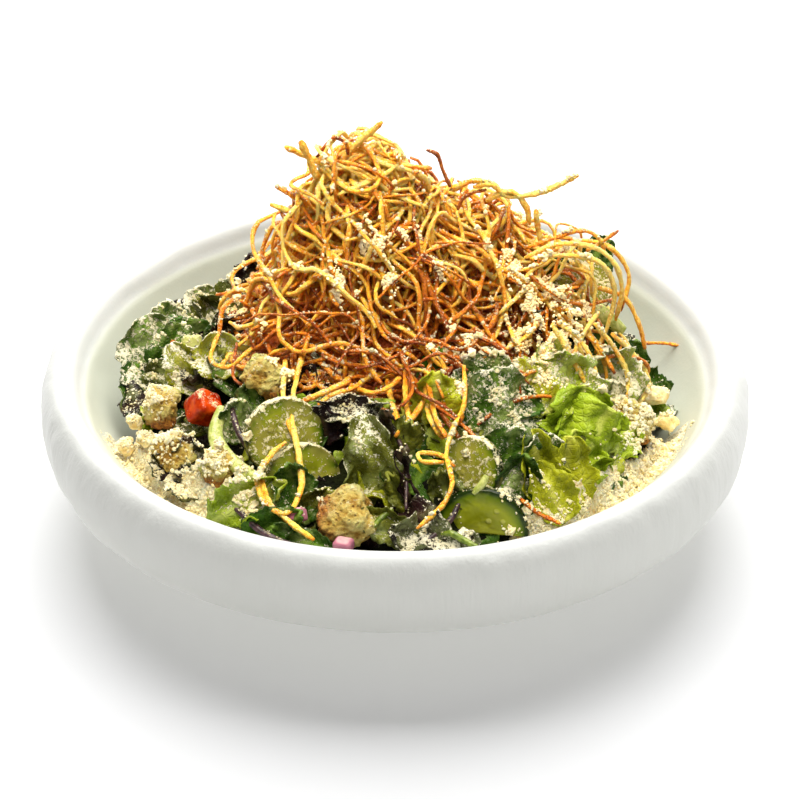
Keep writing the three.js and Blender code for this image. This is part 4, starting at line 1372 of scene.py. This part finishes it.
def makeBanks():
    # drifts of grated cheese between the salad and the rim, thinning out to nothing
    parts = []
    for first, last, inner, outer in banks["spans"]:
        stride = banks["spacing"]
        angle = np.radians(np.arange(first, last, np.degrees(stride / outer)))[:, None]
        radius = np.arange(inner, outer, stride)[None]
        x, y = radius * np.cos(angle), radius * np.sin(angle)
        lower = np.stack([x, y, wellHeight(radius) + 0.1 + 0 * x], -1)
        low = lower[..., 2]
        share = np.linspace(0, 1, len(angle))[:, None]
        wander = 3.5 * latticeNoise(lower, 11, 33)
        taper = smoothStep(np.minimum(share, 1 - share), 0, 0.2) * smoothStep(outer - radius + wander, 1, 9)
        relief = banks["relief"] * roughNoise(lower, banks["cell"], 4, 31)
        level = np.maximum(salad.height(x, y) + 1 - low, banks["thick"])
        level = level - 7 * smoothStep(inner + 5 - radius, 0, 5)
        top = low + np.maximum(0.25, (level + relief) * taper)
        parts.append((*closed(np.stack([x, y, top], -1)[None], lower[None]), {}))
    points, faceSets, _ = joined(parts)
    material = cheeseMaterial("cheeseBank", 1.0, (242, 226, 176), (254, 247, 216))
    piece = makePiece("gratedCheeseBanks", points, faceSets, material)
    print(piece.name, 2 * sum(len(faces) for faces in faceSets))


def dropped(tree, x, y, steepest=0.25):
    # where things let fall at x, y come to rest, and which of them stay there
    down = Vector((0, 0, -1))
    rest, stays = np.zeros((len(x), 3)), np.zeros(len(x), bool)
    for k in range(len(x)):
        place, normal, _, _ = tree.ray_cast(Vector((x[k], y[k], 260)), down)
        if place and abs(normal.z) > steepest:
            rest[k], stays[k] = place, True
    return rest, stays


def grains(random, centres, sizes, solid):
    # irregular grains: each point of a small solid is moved by its own share of the size
    corners, faces = solid
    count = len(centres)
    stretch = random.uniform(0.6, 1.4, (count, 1, 3))
    jitter = random.uniform(0.72, 1.28, (count, len(corners), 1))
    turn = np.linalg.qr(random.normal(0, 1, (count, 3, 3)))[0]
    turn = turn * np.sign(np.linalg.det(turn))[:, None, None]
    points = np.einsum("nkj,nji->nki", corners * stretch * jitter * sizes[:, None, None], turn)
    points = points + centres[:, None]
    return points.reshape(-1, 3), repeated([faces], count, len(corners))


def eightSided():
    # one ring of four between two poles
    return sphere(1, 4), np.concatenate(cappedFaces(1, 4)[1:])


def twentySided():
    # two rings of five, half a step apart, between two poles
    level = 1 / math.sqrt(5)
    wide = 2 * level
    turn = np.arange(5) * 2 * np.pi / 5
    rings = [np.stack([wide * np.cos(turn + late), wide * np.sin(turn + late), 0 * turn + height], 1)
             for late, height in ((0, level), (np.pi / 5, -level))]
    corners = np.concatenate([*rings, [[0, 0, 1], [0, 0, -1]]])
    side = np.arange(5)
    following = (side + 1) % 5
    top, bottom = np.full(5, 10), np.full(5, 11)
    faces = [(side, following, top), (side, side + 5, following), (following, side + 5, following + 5),
             (following + 5, side + 5, bottom)]
    return corners, np.concatenate([np.stack(corner, 1) for corner in faces])


def roughBalls(random, centres, sizes):
    # closed rough lumps: unit spheres of points stretched and pitted along their direction
    grid = (5, 9)
    ball = sphere(*grid)
    count = len(centres)
    shape = ball * random.uniform(0.6, 1.2, (count, 1, 3)) * sizes[:, None, None]
    points = shape + centres[:, None]
    points += ball * (0.8 * roughNoise(points, 0.9, 2, 77) * sizes[:, None])[..., None]
    return points.reshape(-1, 3), repeated(cappedFaces(*grid), count, len(ball))


def scatterPlaces(random, count, cluster):
    # most of the grains fall in the thick places and some anywhere on the salad; all of them
    # gather in small clusters
    heavy = np.array(grated["heavy"])
    inHeavy = random.uniform(0, 1, count) < grated["inHeavy"]
    which = random.choice(len(heavy), count, p=heavy[:, 3] / heavy[:, 3].sum())
    angle = random.uniform(0, 2 * np.pi, count)
    radius = grated["reach"] * np.sqrt(random.uniform(0, 1, count))
    anywhere = np.stack([radius * np.cos(angle), radius * np.sin(angle) - 4], -1)
    thick = heavy[which, :2] + random.normal(0, 1, (count, 2)) * heavy[which, 2:3]
    centres = np.where(inHeavy[:, None], thick, anywhere)
    groups = random.integers(0, count // grated["together"], count)
    return centres[groups] + random.normal(0, cluster * 0.35, (count, 2))


def onBank(random, count):
    # random places on the banks, by angle and radius
    spans = np.array(banks["spans"], float)
    width = spans[:, 1] - spans[:, 0]
    which = random.choice(len(spans), count, p=width / width.sum())
    first, last, inner, outer = spans[which].T
    angle = np.radians(random.uniform(first + 4, last - 4))
    radius = random.uniform(inner, outer - 2)
    return np.stack([radius * np.cos(angle), radius * np.sin(angle)], -1)


def notBare(random, places):
    # which grains don't lie on one of the pieces that stay nearly bare
    free = np.ones(len(places), bool)
    for x, y, radius in grated["bare"]:
        near = np.exp(-((places[:, 0] - x) ** 2 + (places[:, 1] - y) ** 2) / radius ** 2)
        free &= random.uniform(0, 1, len(places)) > grated["bareShare"] * near
    return free


def foodTree():
    # everything that grated cheese can fall on
    names = ["saladCore", "bowlShell", "gratedCheeseBanks", *straws["kinds"]]
    names += [kind + "Ribs" for kind in ribColours] + [kind + "Leaves" for kind in leafKinds]
    names += [node.replace("_", "") for node in cadNodes if node.rsplit("_", 1)[0] in lumps]
    names += [node.replace("_", "") for node in cucumber["slices"]]
    return searchTree(bpy.data.objects[name].data for name in names)


def makeClumps(random, tree):
    count = grated["smallClumps"]
    places = placesOn(random, moundHeight > 8, count)
    small = np.column_stack([places, random.uniform(*grated["smallSpread"], count)])
    clumps = np.concatenate([grated["clumps"], small])
    middles, _ = dropped(tree, *clumps[:, :2].T)
    inside = np.repeat(np.arange(len(clumps)), (clumps[:, 2] ** 2 * grated["perClump"]).astype(int) + 2)
    # a clump is ragged: its crumbs stray further where a noise is high, and lie on what is below
    stray = random.normal(0, 0.32, (len(inside), 2)) * clumps[inside, 2:]
    stray *= 1 + 0.8 * latticeNoise(np.column_stack([stray, inside * 7.0]), 1.6, 21)[:, None]
    rest, _ = dropped(tree, *(middles[inside, :2] + stray).T)
    share = np.linalg.norm(stray, axis=1) / clumps[inside, 2]
    rest[:, :2] = middles[inside, :2] + stray
    # crumbs that would fall between the strands stay level with the others of their clump
    under = np.maximum(mound.height(*rest[:, :2].T), salad.height(*rest[:, :2].T))
    gaps = rest[:, 2] - under
    level = np.array([np.percentile(gaps[inside == k], 60) for k in range(len(clumps))])
    heaped = grated["clumpHeight"] * clumps[inside, 2] * np.maximum(1 - share ** 2, 0)
    heaped = heaped * random.uniform(0, 1, len(inside))
    rest[:, 2] = under + np.maximum(gaps, level[inside] - 1.4 * share) + heaped
    crumbs = random.uniform(*grated["clumpCrumb"], len(inside))
    points, faceSets = grains(random, rest, crumbs, twentySided())
    material = cheeseMaterial("cheeseClump", 0.1, (252, 222, 160), (254, 240, 200))
    piece = makePiece("gratedCheeseClumps", points, faceSets, material, smooth=False)


def makeGrains(random, tree):
    tomatoMiddle, _ = frameBox("tomato_piece_1")
    material = cheeseMaterial("cheeseCrumb", 0.0, (240, 221, 166), (252, 243, 210))
    for name, kind in grated["kinds"].items():
        spots = scatterPlaces(random, kind["count"], kind["cluster"])
        rest, stays = dropped(tree, *spots.T)
        fromAxis = np.hypot(rest[:, 0], rest[:, 1])
        covered = salad.height(*rest[:, :2].T) - wellHeight(fromAxis) > 3
        bearing = np.degrees(np.arctan2(rest[:, 1], rest[:, 0]))
        for first, last, _, outer in banks["spans"]:
            covered |= (bearing > first) & (bearing < last) & (fromAxis < outer + 2)
        clean = np.linalg.norm(rest - tomatoMiddle, axis=1) > grated["tomatoRoom"]
        clean &= notBare(random, rest)
        onStraws, landed = dropped(tree, *placesOn(random, moundHeight > 8, kind["onStraws"]).T)
        onBanks, lying = dropped(tree, *onBank(random, kind["onBanks"]).T)
        lying &= notBare(random, onBanks) | (onBanks[:, 2] < grated["lowest"])
        centres = np.concatenate([rest[stays & covered & clean], onStraws[landed], onBanks[lying]])
        sizes = random.uniform(*kind["size"], len(centres))
        centres[:, 2] += sizes * 0.5
        if name == "Bits":
            points, faceSets = roughBalls(random, centres, sizes)
        else:
            solid = eightSided() if name == "Fine" else twentySided()
            points, faceSets = grains(random, centres, sizes, solid)
        piece = makePiece("gratedCheese" + name, points, faceSets, material, smooth=False)
        print(piece.name, len(faceSets[0]))


def makeGrated():
    makeBanks()
    random = np.random.default_rng(90)
    tree = foodTree()
    makeClumps(random, tree)
    makeGrains(random, tree)


print("grated cheese")
makeGrated()


studio = dict(
    elevation=32.6,                  # how far the camera looks down
    distance=1446,
    lens=163.98,
    shift=0.006,
    keyPlace=(20, 950, 1200), keySize=1600, keyPower=43,
    fillPlace=(200, -1050, 1700), fillSize=1600, fillPower=2.6,
    topPlace=(350, -600, 1950), topSize=1600, topPower=18.0,
    foodPlace=(-60, -300, 1800), foodSize=700, foodPower=26,
    strawPlace=(-250, 100, 1900), strawSize=700, strawPower=56,
    foodColour=(1.0, 0.89, 0.6),
    sky=0.11,
    floorGlow=0.205,                 # the floor is a lit table
)


def makeFloor():
    floor = Shader("floor")
    glow = dict(Emission_Color=(1, 1, 1, 1), Emission_Strength=studio["floorGlow"])
    material = floor.finish(Base_Color=srgb(250, 250, 250), Roughness=0.9, **glow)
    side = 8.0                       # metres from the middle to each edge
    mesh = bpy.data.meshes.new("floor")
    corners = [(-side, -side, 0), (side, -side, 0), (side, side, 0), (-side, side, 0)]
    mesh.from_pydata(corners, [], [(0, 1, 2, 3)])
    mesh.materials.append(material)
    piece = bpy.data.objects.new("floor", mesh)
    bpy.context.scene.collection.objects.link(piece)


def makeLamp(name):
    # a square soft light that looks at the middle of the rim
    light = name + "Light"
    lamp = bpy.data.lights.new(light, "AREA")
    lamp.shape, lamp.size, lamp.energy = "SQUARE", studio[name + "Size"] * mm, studio[name + "Power"]
    holder = bpy.data.objects.new(light, lamp)
    holder.location = Vector(studio[name + "Place"]) * mm
    towards = Vector((0, 0, bowl["height"] * mm)) - holder.location
    holder.rotation_euler = towards.to_track_quat("-Z", "Y").to_euler()
    bpy.context.scene.collection.objects.link(holder)
    return holder


def makeLamps():
    scene = bpy.context.scene
    makeLamp("key")
    makeLamp("fill")
    # three reflectors: one spares the floor, one lights the food and one the straws alone
    pieces = {piece.name for piece in scene.objects if piece.type == "MESH"} - {"floor"}
    food = pieces - {"bowlShell", "bowl"}
    heap = {*straws["kinds"], "strawCore", "gratedCheeseClumps"}
    for name, shown in (("top", pieces), ("food", food), ("straw", heap)):
        light = makeLamp(name)
        light.data.color = (1, 1, 1) if name == "top" else studio["foodColour"]
        lit = bpy.data.collections.new(name + "Lit")
        for piece in sorted(shown):
            lit.objects.link(scene.objects[piece])
        light.light_linking.receiver_collection = lit


def makeWorld():
    world = bpy.data.worlds.new("studio")
    world.use_nodes = True
    sky = world.node_tree.nodes["Background"].inputs
    sky["Color"].default_value = (1, 1, 1, 1)
    sky["Strength"].default_value = studio["sky"]
    bpy.context.scene.world = world


def makeCamera():
    # looks down at the middle of the bowl, at the height of the middle of its rim
    scene = bpy.context.scene
    lens = bpy.data.cameras.new("camera")
    lens.lens, lens.sensor_width, lens.shift_x = studio["lens"], 36, studio["shift"]
    camera = bpy.data.objects.new("camera", lens)
    tilt = math.radians(studio["elevation"])
    aim = Vector((0, 0, bowl["height"] - bowl["rimHalfHeight"]))
    camera.location = (aim + Vector((0, -math.cos(tilt), math.sin(tilt))) * studio["distance"]) * mm
    camera.rotation_euler = (math.pi / 2 - tilt, 0, 0)
    scene.collection.objects.link(camera)
    scene.camera = camera
    scene.view_settings.view_transform = "Standard"


print("studio")
makeFloor()
makeLamps()
makeWorld()
makeCamera()

bpy.context.view_layer.update()
